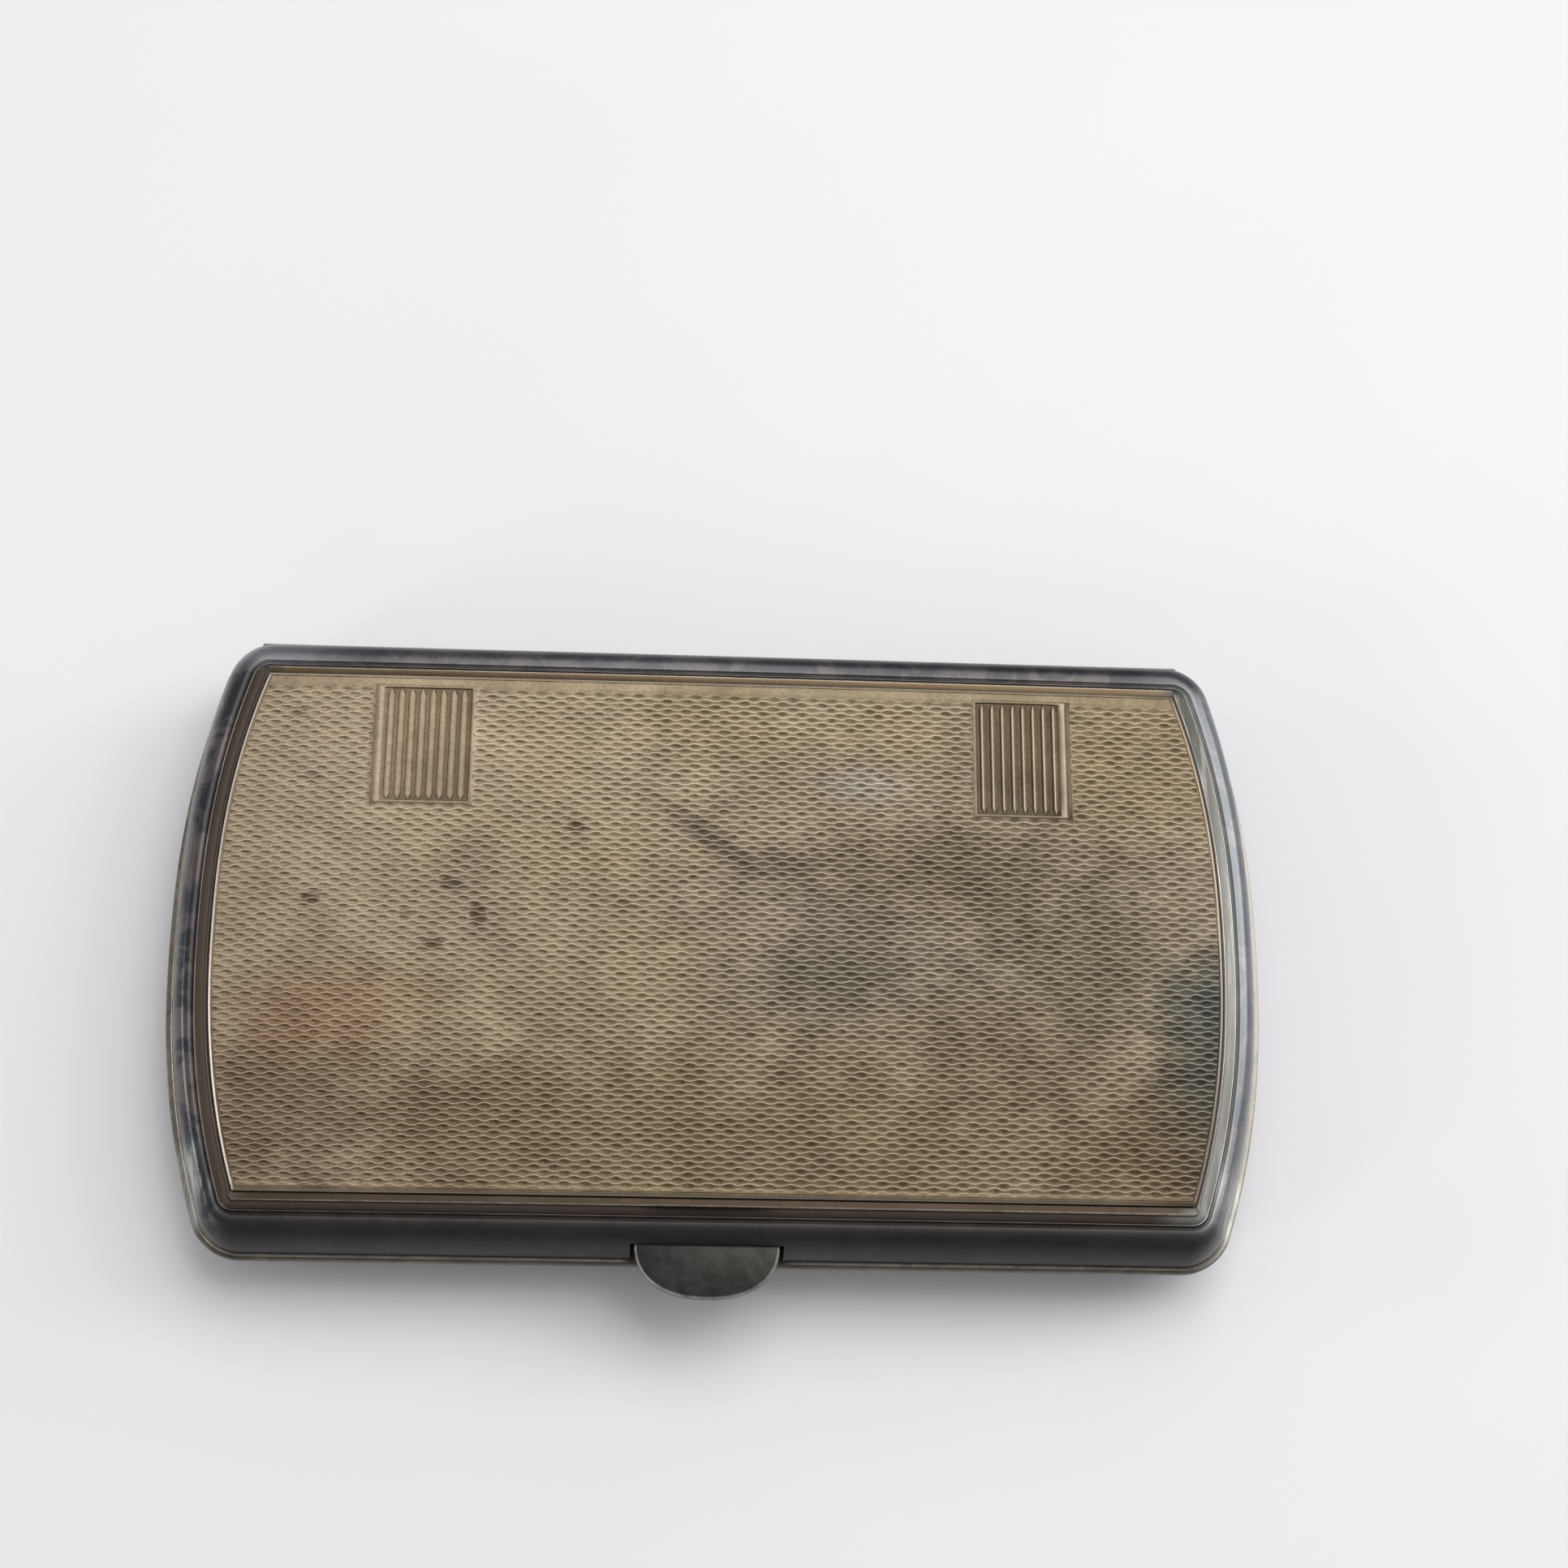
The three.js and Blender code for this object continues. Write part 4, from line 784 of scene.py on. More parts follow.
def barleycorn_marks(tree, place):
    """How near a point is to a ridge's crest, and how deep in a barleycorn, worked out from its place. The
    crest mark lies on each ridge's lit back flank, a painted highlight, and the barleycorn mark is darkest
    just in front of the next ridge, painted shade.
    """
    math_node = "ShaderNodeMath"
    shake = add(tree, "ShaderNodeTexNoise", {
        "Vector": place, "Scale": 1100.0, "Detail": 2.0}).outputs["Color"]
    shaken = add(tree, "ShaderNodeVectorMath", {
        0: shake, 1: (0.0, 0.22 * MM, 0.0), 2: place}, operation="MULTIPLY_ADD").outputs[0]
    parts = add(tree, "ShaderNodeSeparateXYZ", {0: shaken}).outputs
    across = add(tree, math_node, {
        0: parts["Y"], 1: 1 / (MM * ROW_PITCH), 2: -(FIELD_FRONT + CREST_SHIFT) / ROW_PITCH},
        operation="MULTIPLY_ADD").outputs[0]
    row = add(tree, math_node, {0: across}, operation="FLOOR").outputs[0]
    inside = add(tree, math_node, {0: across}, operation="FRACT").outputs[0]
    waves = add(tree, math_node, {0: parts["X"], 1: 1 / (MM * WAVE_LENGTH)}, operation="MULTIPLY").outputs[0]
    waves = add(tree, math_node, {0: row, 1: 0.5, 2: waves}, operation="MULTIPLY_ADD").outputs[0]
    turn = add(tree, math_node, {0: waves, 1: 2 * math.pi}, operation="MULTIPLY").outputs[0]
    swing = add(tree, math_node, {0: turn}, operation="COSINE").outputs[0]
    swing = add(tree, math_node, {0: swing, 1: WAVE_HEIGHT / ROW_PITCH}, operation="MULTIPLY").outputs[0]
    top = add(tree, math_node, {0: 1.0, 1: swing}, operation="SUBTRACT").outputs[0]
    below = add(tree, math_node, {0: inside, 1: swing}, operation="LESS_THAN").outputs[0]
    above = add(tree, math_node, {0: inside, 1: top}, operation="GREATER_THAN").outputs[0]
    beside = add(tree, math_node, {0: below, 1: above}, operation="ADD").outputs[0]
    flip = add(tree, math_node, {0: beside, 1: -2.0, 2: 1.0}, operation="MULTIPLY_ADD").outputs[0]
    foot = add(tree, math_node, {0: swing, 1: flip}, operation="MULTIPLY").outputs[0]
    room = add(tree, math_node, {0: foot, 1: -2.0, 2: 1.0}, operation="MULTIPLY_ADD").outputs[0]
    step = add(tree, math_node, {0: below, 1: above}, operation="SUBTRACT").outputs[0]
    rise = add(tree, math_node, {0: inside, 1: step}, operation="ADD").outputs[0]
    rise = add(tree, math_node, {0: rise, 1: foot}, operation="SUBTRACT").outputs[0]
    rise = add(tree, math_node, {0: rise, 1: room}, operation="DIVIDE").outputs[0]
    back = add(tree, math_node, {0: 1.0, 1: rise}, operation="SUBTRACT").outputs[0]
    near = add(tree, math_node, {0: rise, 1: back}, operation="MINIMUM").outputs[0]
    near = add(tree, math_node, {0: near, 1: room}, operation="MULTIPLY").outputs[0]
    # The crest mark: worn crests, with a painted highlight on the lit back flank.
    crest = add(tree, "ShaderNodeMapRange", {
        "Value": near, "From Min": 0.03, "From Max": 0.14, "To Min": 1.0, "To Max": 0.0},
        interpolation_type="SMOOTHSTEP").outputs[0]
    to_right = add(tree, "ShaderNodeMapRange", {
        "Value": parts["X"], "From Min": -45 * MM, "From Max": 12 * MM}).outputs[0]
    flat, full, least = (
        add(tree, "ShaderNodeMapRange", {"Value": to_right, "To Min": left, "To Max": right}).outputs[0]
        for left, right in ((0.46, 0.08), (0.74, 0.55), (0.2, 0.55)))
    widest = 1 + 2 * WAVE_HEIGHT / ROW_PITCH
    swell = add(tree, "ShaderNodeMapRange", {
        "Value": room, "From Min": 0.76, "From Max": widest - 0.1, "To Min": least},
        interpolation_type="SMOOTHSTEP").outputs[0]
    # The barleycorn mark is darkest just in front of the next ridge: tarnish in the cut with painted shade.
    front = add(tree, "ShaderNodeMapRange", {
        "Value": rise, "From Min": flat, "From Max": full}, interpolation_type="SMOOTHSTEP").outputs[0]
    rear = add(tree, "ShaderNodeMapRange", {
        "Value": rise, "From Min": 0.86, "From Max": 0.97, "To Min": 1.0, "To Max": 0.0}).outputs[0]
    corn = add(tree, math_node, {0: front, 1: rear}, operation="MULTIPLY").outputs[0]
    corn = add(tree, math_node, {0: corn, 1: swell}, operation="MULTIPLY").outputs[0]
    return crest, corn, parts["X"]


def turned_silver(name, stains):
    """Engine-turned silver under old tarnish: the crests are rubbed to a light tan, with a painted highlight
    on their lit back flanks, the barleycorns hold dark brown tarnish, with painted shade darkest under each
    next ridge, and blotches of blue, olive and rust lie over both."""
    material, tree = new_material(name)
    place = add(tree, "ShaderNodeTexCoord").outputs["Object"]
    field, cut, wear = (add(tree, "ShaderNodeAttribute", attribute_name=mark).outputs["Fac"]
                        for mark in ("field", "cut", "wear"))
    crest, corn, x = barleycorn_marks(tree, place)
    cloud = add(tree, "ShaderNodeTexNoise", {
        "Vector": place, "Scale": 38.0, "Detail": 5.0, "Roughness": 0.6, "Distortion": 0.8}).outputs["Fac"]
    patch, fleck, speck, tarnish = (
        add(tree, "ShaderNodeTexNoise", {
            "Vector": place, "Scale": scale, "Detail": detail, "Roughness": roughness}).outputs["Fac"]
        for scale, detail, roughness in (
            (160.0, 5.0, 0.65), (600.0, 3.0, 0.5), (1300.0, 3.0, 0.5), (2600.0, 4.0, 0.7)))
    share = {}
    for key, value, first, last, least, most in (
            # what a place has a share of, the value that it follows, from where to where, and how much
            ("broad", cloud, 0.35, 0.65, 0, 1),
            ("along", x, -40 * MM, 45 * MM, 0, 1),
            ("mottle", patch, 0.35, 0.65, 0.82, 1.12),
            ("fine", tarnish, 0.35, 0.65, 0.78, 1.18),
            ("uneven", fleck, 0.35, 0.6, 0.48, 0.9),
            # where the edge's painted highlight fades, at the right end
            ("dulled", x, 50 * MM, 57 * MM, 0, 1),
            ("haze", speck, 0, 1, 0.34, 0.52)):
        share[key] = add(tree, "ShaderNodeMapRange", {
            "Value": value, "From Min": first, "From Max": last, "To Min": least, "To Max": most}).outputs[0]
    bare, reed_dirt = (
        add(tree, "ShaderNodeMapRange", {
            "Value": share["along"], "To Min": left, "To Max": right}).outputs[0]
        for left, right in ((0.34, 0.2), (0.9, 1.0)))
    colour, right, edge_wear_and_highlight = (
        add(tree, "ShaderNodeMix", {0: over, 6: tone(first), 7: tone(second)}, data_type="RGBA").outputs[2]
        for over, first, second in (
            (share["broad"], "#86765D", "#92836C"), (share["broad"], "#70634E", "#7C715E"),
            (share["dulled"], "#FBEFDC", "#A39284")))
    layers = [(share["along"], right)]
    for stain_x, stain_y, half_width, half_depth, turn, strength, hue in stains:
        far = oval_distance(tree, place, stain_x, stain_y, half_width, half_depth, turn)
        edge = add(tree, "ShaderNodeMath", {0: patch, 1: 1.1, 2: far}, operation="MULTIPLY_ADD").outputs[0]
        inner, outer = (0.75, 1.65) if half_width > SMALL_STAIN else (0.95, 1.35)
        cover = add(tree, "ShaderNodeMapRange", {
            "Value": edge, "From Min": inner, "From Max": outer, "To Min": strength, "To Max": 0.0},
            interpolation_type="SMOOTHSTEP").outputs[0]
        layers.append((cover, tone(hue)))
    for over, layer in layers:
        colour = add(tree, "ShaderNodeMix", {0: over, 6: colour, 7: layer}, data_type="RGBA").outputs[2]
    for key in ("mottle", "fine"):
        colour = add(tree, "ShaderNodeMix", {
            0: 1.0, 6: colour, 7: share[key]}, data_type="RGBA", blend_type="MULTIPLY").outputs[2]
    # Light tan on the crests: wear, with a painted highlight on the lit flank.
    rubbed = add(tree, "ShaderNodeMath", {0: crest, 1: field}, operation="MULTIPLY").outputs[0]
    light = add(tree, "ShaderNodeMix", {0: bare, 6: colour, 7: tone("#E2D8C2")}, data_type="RGBA").outputs[2]
    colour = add(tree, "ShaderNodeMix", {0: rubbed, 6: colour, 7: light}, data_type="RGBA").outputs[2]
    # Darker in the barleycorns and the reeds' cuts: tarnish and soil, with painted shade under each next
    # ridge.
    tarnish_and_painted_shade = add(tree, "ShaderNodeMath", {0: corn, 1: field}, operation="MULTIPLY").outputs[0]
    tarnish_and_painted_shade = add(tree, "ShaderNodeMath", {0: tarnish_and_painted_shade, 1: share["uneven"]}, operation="MULTIPLY").outputs[0]
    sunk = add(tree, "ShaderNodeMath", {0: 1.0, 1: field}, operation="SUBTRACT").outputs[0]
    sunk = add(tree, "ShaderNodeMath", {0: sunk, 1: cut}, operation="MULTIPLY").outputs[0]
    sunk = add(tree, "ShaderNodeMath", {0: sunk, 1: reed_dirt}, operation="MULTIPLY").outputs[0]
    tarnish_and_painted_shade = add(tree, "ShaderNodeMath", {0: tarnish_and_painted_shade, 1: sunk}, operation="MAXIMUM").outputs[0]
    dark = add(tree, "ShaderNodeMix", {
        0: 1.0, 6: colour, 7: tone("#857A70")}, data_type="RGBA", blend_type="MULTIPLY").outputs[2]
    colour = add(tree, "ShaderNodeMix", {0: tarnish_and_painted_shade, 6: colour, 7: dark}, data_type="RGBA").outputs[2]
    # The plate's worn edge is painted near white at the left end and duller to the right: a painted highlight
    # over the wear.
    colour = add(tree, "ShaderNodeMix", {0: wear, 6: colour, 7: edge_wear_and_highlight}, data_type="RGBA").outputs[2]
    smooth = add(tree, "ShaderNodeMath", {
        0: wear, 1: -0.25, 2: share["haze"]}, operation="MULTIPLY_ADD").outputs[0]
    grain = add(tree, "ShaderNodeBump", {"Strength": 0.15, "Distance": 0.05 * MM, "Height": speck})
    shader = add(tree, "ShaderNodeBsdfPrincipled", {
        "Base Color": colour, "Metallic": 0.9, "Roughness": smooth, "Normal": grain.outputs[0]})
    add(tree, "ShaderNodeOutputMaterial", {"Surface": shader.outputs[0]})
    return material


cover_turning = turned_silver("engine_turned_silver_cover", STAINS)
base_turning = turned_silver("engine_turned_silver_base", [])
barleycorn = barleycorn_tree()
for body, height, rectangles, finish, direction in (
        ("cover", cover_height, PANEL_CENTRES, cover_turning, -1.0),
        ("base", base_height, (), base_turning, 1.0)):
    plate = plate_blank(f"{body}_plate", height, rectangles, [finish, gilding])
    run_tree(plate, barleycorn, {
        "Row Pitch": ROW_PITCH * MM, "Wave Length": WAVE_LENGTH * MM, "Wave Height": WAVE_HEIGHT * MM,
        "Cut Depth": CUT_DEPTH * MM, "Cut Direction": direction})
    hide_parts(f"{body}_panel")
    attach(plate, body)

# Reeded rectangles: two places left for initials near the hinge. Each is a shallow bed in the cover's
# plate with a broad strip at its outer side, a narrow one at its inner side, and eight flat reeds cut
# between them.
REED_COUNT = 8
REED_WIDTH = 1.0
REED_PITCH = 1.3
REED_SUNK = 0.16
REED_END_GAP = 0.1
REED_SIDE_GAP = 0.3
REED_POINT = [(0.0, 0.15), (0.3, 0.6), (0.6, 0.95), (0.9, 1.0)]
BED_OUTER = (1.15, 1.5)
BED_INNER = 0.5
BED_END = 0.45
BED_RINGS = [
    # how far in, as a share of the strip's width, how deep, how worn, and how soiled
    (0.0, 0.55, 0.0, 0.2), (0.0, 0.0, 0.0, 0.2), (0.05, -0.02, 0.03, 0.25), (0.4, -0.02, 0.0, 0.25),
    (0.5, -0.02, 0.02, 0.1), (0.8, 0.0, 0.02, 0.3), (1.0, REED_SUNK, 0.0, 0.8),
]
RUBBED_RINGS = (4, 5)
FLOOR_RING = 6
RIGHT_FLOOR_SOIL = 0.75
RUBBED_BAND = 1.3
SOILED_BAND = 0.7
RUBBED_EDGE = 0.1


def rectangle_bed(name, centre, left_strip, right_strip, material):
    """A sunk floor inside a border with its own widths at the left and right, as rings from outside in.
    The right bed's outer strip is rubbed along its inner half."""
    half_width, half_length = PANEL_RECTANGLE[0] / 2, PANEL_RECTANGLE[1] / 2
    middle = PANEL_BACK - half_length
    cuts = np.linspace(-1, 1, 9)[:-1]
    plan = np.array([(s, -1) for s in cuts] + [(1, s) for s in cuts] + [(-s, 1) for s in cuts]
                    + [(-1, -s) for s in cuts])
    points = []
    for inset, down, _, _ in BED_RINGS:
        left, right = centre - half_width + inset * left_strip, centre + half_width - inset * right_strip
        x = (left + right) / 2 + plan[:, 0] * (right - left) / 2
        y = middle + plan[:, 1] * (half_length - inset * BED_END)
        points.append(np.column_stack([x, y, cover_height(x, HALF_HEIGHT - down)]))
    points = np.concatenate(points)
    wear, soil = (np.repeat([ring[column] for ring in BED_RINGS], len(plan)) for column in (2, 3))
    if centre > 0:
        x, ring = points[:, 0], np.repeat(np.arange(len(BED_RINGS)), len(plan))
        rubbed = (x > centre + half_width - RUBBED_BAND) & np.isin(ring, RUBBED_RINGS)
        soil[ring == FLOOR_RING] = RIGHT_FLOOR_SOIL
        soil[rubbed] = 0
        soil[(x > centre + half_width - SOILED_BAND) & ~rubbed] = 0.7
        wear[rubbed] = 0.13
        wear[x < centre - half_width + RUBBED_EDGE] = 0.2
    faces = ring_faces(len(BED_RINGS), len(plan))
    return link_mesh(name, points, faces, [material], marks={"wear": wear, "cut": soil}, sharp=50.0)


def single_reed(name, length, section, material):
    """One flat reed with pointed ends, lying along Y from its front end, from a section of (x, up, soil,
    wear)."""
    stations = REED_POINT + [(length - y, size) for y, size in REED_POINT[::-1]]
    points = []
    for y, size in stations:
        points += [(REED_WIDTH * size * x, y, up * min(1, 0.5 + size)) for x, up, _, _ in section]
    soil, wear = (np.tile([point[column] for point in section], len(stations)) for column in (2, 3))
    faces = ring_faces(len(stations), len(section))
    return link_mesh(name, points, faces, [material], marks={"cut": soil, "wear": wear}, sharp=60.0)


def row_tree():
    """Repeats a piece along a straight row and gives it a finish."""
    tree = bpy.data.node_groups.new("row_of_pieces", "GeometryNodeTree")
    for name, kind in (("Geometry", "Geometry"), ("Count", "Int"), ("First", "Vector"), ("Step", "Vector"),
                       ("Finish", "Material")):
        tree.interface.new_socket(name, in_out="INPUT", socket_type="NodeSocket" + kind)
    tree.interface.new_socket("Geometry", in_out="OUTPUT", socket_type="NodeSocketGeometry")
    given = add(tree, "NodeGroupInput").outputs
    places = add(tree, "GeometryNodeMeshLine", {
        "Count": given["Count"], "Start Location": given["First"], "Offset": given["Step"]})
    copies = add(tree, "GeometryNodeInstanceOnPoints", {
        "Points": places.outputs[0], "Instance": given["Geometry"]})
    real = add(tree, "GeometryNodeRealizeInstances", {0: copies.outputs[0]})
    finished = add(tree, "GeometryNodeSetMaterial", {
        "Geometry": real.outputs[0], "Material": given["Finish"]})
    add(tree, "NodeGroupOutput", {"Geometry": finished.outputs[0]})
    return tree


row = row_tree()
BROAD_REED = [
    (-0.5, -0.02, 0.9, 0), (-0.42, 0.11, 0.1, 0.03), (-0.34, 0.155, 0, 0.14), (-0.22, 0.165, 0.1, 0),
    (0.0, 0.15, 0.25, 0), (0.2, 0.12, 0.5, 0), (0.38, 0.05, 1.0, 0), (0.5, -0.02, 1.0, 0)]
NARROW_REED = [
    (-0.5, -0.02, 0.8, 0), (-0.3, 0.11, 0.65, 0), (-0.2, 0.155, 0, 0.19), (-0.08, 0.165, 0, 0.19),
    (0.02, 0.15, 0.5, 0), (0.2, 0.12, 0.75, 0), (0.38, 0.05, 0.85, 0), (0.5, -0.02, 0.85, 0)]
reeds_width = (REED_COUNT - 1) * REED_PITCH
half_width, inner_edge = PANEL_RECTANGLE[0] / 2, BED_INNER + REED_SIDE_GAP + REED_WIDTH / 2
reed_length = PANEL_RECTANGLE[1] - 2 * BED_END - 2 * REED_END_GAP
for number, centre in enumerate(PANEL_CENTRES, 1):
    if centre < 0:
        strips, section = (BED_OUTER[0], BED_INNER), BROAD_REED
        first_x = centre + half_width - inner_edge - reeds_width
    else:
        strips, section = (BED_INNER, BED_OUTER[1]), NARROW_REED
        first_x = centre - half_width + inner_edge
    bed = rectangle_bed(f"reeded_bed_{number}", centre, *strips, cover_turning)
    reeds = single_reed(f"reeds_{number}", reed_length, section, cover_turning)
    first_z, last_z = (float(cover_height(np.array(x), HALF_HEIGHT - REED_SUNK))
                       for x in (first_x, first_x + reeds_width))
    first = Vector((first_x, PANEL_BACK - PANEL_RECTANGLE[1] + BED_END + REED_END_GAP, first_z)) * MM
    step = Vector((REED_PITCH, 0, (last_z - first_z) / (REED_COUNT - 1))) * MM
    run_tree(reeds, row, {"Count": REED_COUNT, "First": first, "Step": step, "Finish": cover_turning})
    for made in (bed, reeds):
        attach(made, "cover")

# Bezel: a strip of silver soldered inside the base's wall, which stands up inside the closed cover.
# It is open at the back, where the hinge's bearers are, and cut down behind the thumb piece.
BEZEL_OUTER = 4.0
BEZEL_INNER = 3.4
BEZEL_RISE = 1.0
BEZEL_FOOT = 3.6
bezel_profile = [
    (BEZEL_OUTER, BEZEL_FOOT), (BEZEL_OUTER, -BEZEL_RISE + 0.15), (BEZEL_OUTER - 0.07, -BEZEL_RISE + 0.03),
    (BEZEL_OUTER - 0.2, -BEZEL_RISE), (BEZEL_INNER + 0.2, -BEZEL_RISE),
    (BEZEL_INNER + 0.07, -BEZEL_RISE + 0.03), (BEZEL_INNER, -BEZEL_RISE + 0.15), (BEZEL_INNER, BEZEL_FOOT)]
bezel = sweep_border(
    "inner_bezel", [(out, up, out, out, 0, 0, 0, 0, 0) for out, up in bezel_profile], len(bezel_profile),
    base_height, SWELL["base"], [gilding])
cut_box(bezel, (-PAST_ENDS, PANEL_HALF_DEPTH - 1.5, SEAM - 8), (PAST_ENDS, PAST_WALLS, SEAM + 3))
cut_box(bezel, (CATCH_CENTRE - NOTCH_HALF_WIDTH, -PANEL_HALF_DEPTH - BEZEL_OUTER - 0.3, SEAM),
        (CATCH_CENTRE + NOTCH_HALF_WIDTH, -PANEL_HALF_DEPTH - BEZEL_INNER + 0.3, SEAM + 2))
turn_outwards(bezel, CREASE_ANGLE)
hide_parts("base_bezel")
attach(bezel, "base")

# Hinge: seven drawn silver tubes, four on the base and three on the cover, between two channelled
# bearers, on one hard wire.
TUBE_COUNT = 7
TUBE_RADIUS = 1.15
TUBE_BORE = 0.75
BARREL_HALF_LENGTH = 59.2
TUBE_GAP = 0.06
TUBE_LENGTH = (2 * BARREL_HALF_LENGTH - (TUBE_COUNT - 1) * TUBE_GAP) / TUBE_COUNT


def turned(name, profile, sides, material, closed=True, sharp=40.0):
    """A turned piece round the X axis. Its profile is a list of (x, radius, wear)."""
    turns = [2 * math.pi * side / sides for side in range(sides)]
    points = [(x, radius * math.cos(turn), radius * math.sin(turn))
              for x, radius, _ in profile for turn in turns]
    wear = np.repeat([rub for _, _, rub in profile], sides)
    faces = ring_faces(len(profile), sides, closed)
    return link_mesh(name, points, faces, [material], marks={"wear": wear}, sharp=sharp)


def drawn_silver():
    """Silver tube drawn through a plate: fine lines along it, tan with handling, bright at the ends."""
    material, tree = new_material("drawn_silver_tube")
    place = add(tree, "ShaderNodeTexCoord").outputs["Object"]
    wear = add(tree, "ShaderNodeAttribute", attribute_name="wear").outputs["Fac"]
    along = add(tree, "ShaderNodeMapping", {
        "Vector": place, "Scale": (40, 1800, 1800)}, vector_type="POINT").outputs[0]
    lines = add(tree, "ShaderNodeTexNoise", {"Vector": along, "Scale": 1.0, "Detail": 3.0}).outputs["Fac"]
    cloud = add(tree, "ShaderNodeTexNoise", {"Vector": place, "Scale": 120.0, "Detail": 4.0}).outputs["Fac"]
    broad = add(tree, "ShaderNodeMapRange", {"Value": cloud, "From Min": 0.4, "From Max": 0.62}).outputs[0]
    haze = add(tree, "ShaderNodeMapRange", {"Value": lines, "To Min": 0.22, "To Max": 0.45}).outputs[0]
    colour = tone("#544A3E")
    for over, layer in ((broad, "#423B36"), (wear, "#B9B2A4")):
        colour = add(tree, "ShaderNodeMix", {0: over, 6: colour, 7: tone(layer)}, data_type="RGBA").outputs[2]
    bump = add(tree, "ShaderNodeBump", {"Strength": 0.15, "Distance": 0.03 * MM, "Height": lines})
    shader = add(tree, "ShaderNodeBsdfPrincipled", {
        "Base Color": colour, "Metallic": 1.0, "Roughness": haze, "Normal": bump.outputs[0]})
    add(tree, "ShaderNodeOutputMaterial", {"Surface": shader.outputs[0]})
    return material


tube_silver = drawn_silver()
tube_end = [
    (0.0, TUBE_BORE, 0.1), (0.0, TUBE_RADIUS - 0.12, 0.3), (0.04, TUBE_RADIUS - 0.04, 0.35),
    (0.14, TUBE_RADIUS, 0.2), (0.5, TUBE_RADIUS, 0.1)]
tube_profile = tube_end + [(TUBE_LENGTH - x, radius, rub) for x, radius, rub in tube_end[::-1]]
for body, first, count in (("base", 0, 4), ("cover", 1, 3)):
    tubes = turned(f"{body}_hinge_tubes", tube_profile, 40, tube_silver)
    start = Vector((-BARREL_HALF_LENGTH + first * (TUBE_LENGTH + TUBE_GAP), HINGE_Y, SEAM)) * MM
    run_tree(tubes, row, {"Count": count, "First": start,
                          "Step": Vector((2 * (TUBE_LENGTH + TUBE_GAP) * MM, 0, 0)), "Finish": tube_silver})
    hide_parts(*[f"{body}_knuckle_{i + 1}" for i in range(count)])
    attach(tubes, body)


def hard_steel():
    """Spring steel, ground and oiled: cool grey, fine lines, a few brown freckles of rust."""
    material, tree = new_material("oiled_spring_steel")
    place = add(tree, "ShaderNodeTexCoord").outputs["Object"]
    stretch = add(tree, "ShaderNodeMapping", {
        "Vector": place, "Scale": (150, 1500, 1500)}, vector_type="POINT").outputs[0]
    lines = add(tree, "ShaderNodeTexNoise", {"Vector": stretch, "Scale": 1.0, "Detail": 3.0}).outputs["Fac"]
    freckle = add(tree, "ShaderNodeTexNoise", {
        "Vector": place, "Scale": 600.0, "Detail": 5.0, "Roughness": 0.7}).outputs["Fac"]
    rust = add(tree, "ShaderNodeMapRange", {
        "Value": freckle, "From Min": 0.6, "From Max": 0.7, "To Max": 0.7}).outputs[0]
    haze = add(tree, "ShaderNodeMapRange", {"Value": lines, "To Min": 0.25, "To Max": 0.5}).outputs[0]
    colour = add(tree, "ShaderNodeMix", {
        0: rust, 6: tone("#8F8F8E"), 7: tone("#5A4433")}, data_type="RGBA").outputs[2]
    shader = add(tree, "ShaderNodeBsdfPrincipled", {
        "Base Color": colour, "Metallic": 1.0, "Roughness": haze})
    add(tree, "ShaderNodeOutputMaterial", {"Surface": shader.outputs[0]})
    return material


steel = hard_steel()
wire_end = [(-BARREL_HALF_LENGTH, 0.15, 0), (-BARREL_HALF_LENGTH + 0.08, 0.38, 0),
            (-BARREL_HALF_LENGTH + 0.25, 0.5, 0)]
pin_profile = wire_end + [(-x, radius, rub) for x, radius, rub in wire_end[::-1]]
pin = turned("hinge_wire", pin_profile, 24, steel, closed=False)
pin.data.transform(Matrix.Translation(Vector((0, HINGE_Y, SEAM)) * MM))
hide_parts("hinge_pin")
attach(pin, "base")

BEARER_OUTER = PANEL_HALF_DEPTH + 4.3
BEARER_INNER = BEARER_OUTER - 1.05
BEARER_GAP = 0.15
BEARER_HEIGHT = 3.0
BEARER_CHAMFER = 0.2
for side, body in ((-1, "base"), (1, "cover")):
    channel = [math.asin(up / SEAT_CLEARANCE) for up in (BEARER_GAP, TUBE_RADIUS)]
    section = [(BEARER_INNER, SEAM + side * BEARER_GAP)]
    section += [(HINGE_Y - SEAT_CLEARANCE * math.cos(t), SEAM + side * SEAT_CLEARANCE * math.sin(t))
                for t in np.linspace(*channel, 12)]
    section += [(BEARER_OUTER, SEAM + side * TUBE_RADIUS), (BEARER_OUTER, SEAM + side * BEARER_HEIGHT),
                (BEARER_INNER + BEARER_CHAMFER, SEAM + side * BEARER_HEIGHT),
                (BEARER_INNER, SEAM + side * (BEARER_HEIGHT - BEARER_CHAMFER))]
    points = [(x, y, z) for x in (-PANEL_HALF_LENGTH, PANEL_HALF_LENGTH) for y, z in section]
    bearer = link_mesh(f"{body}_bearer", points, ring_faces(2, len(section)), [gilding])
    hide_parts(f"{body}_hinge_bearer")
    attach(bearer, body)

# Thumb piece: a half-round lip of thick silver, undercut for the thumbnail, on a block that fills the
# notch in the cover's rim. Its neck goes through the rim to the catch. The top is left bare.
THUMB_REACH = 11.3
THUMB_TOP = 4.45
THUMB_LIP = 1.1
THUMB_INNER = 4.7
THUMB_ROUNDNESS = 2.3
THUMB_UNDERCUT = 2.4
THUMB_BLOCK = 1.6
THUMB_ARC = 72
FRONT_LIP = 6.4
NECK_HALF_WIDTH = 5
NECK_Y = (-38.2, -35.4)
NECK_UP = (1.3, 4.1)


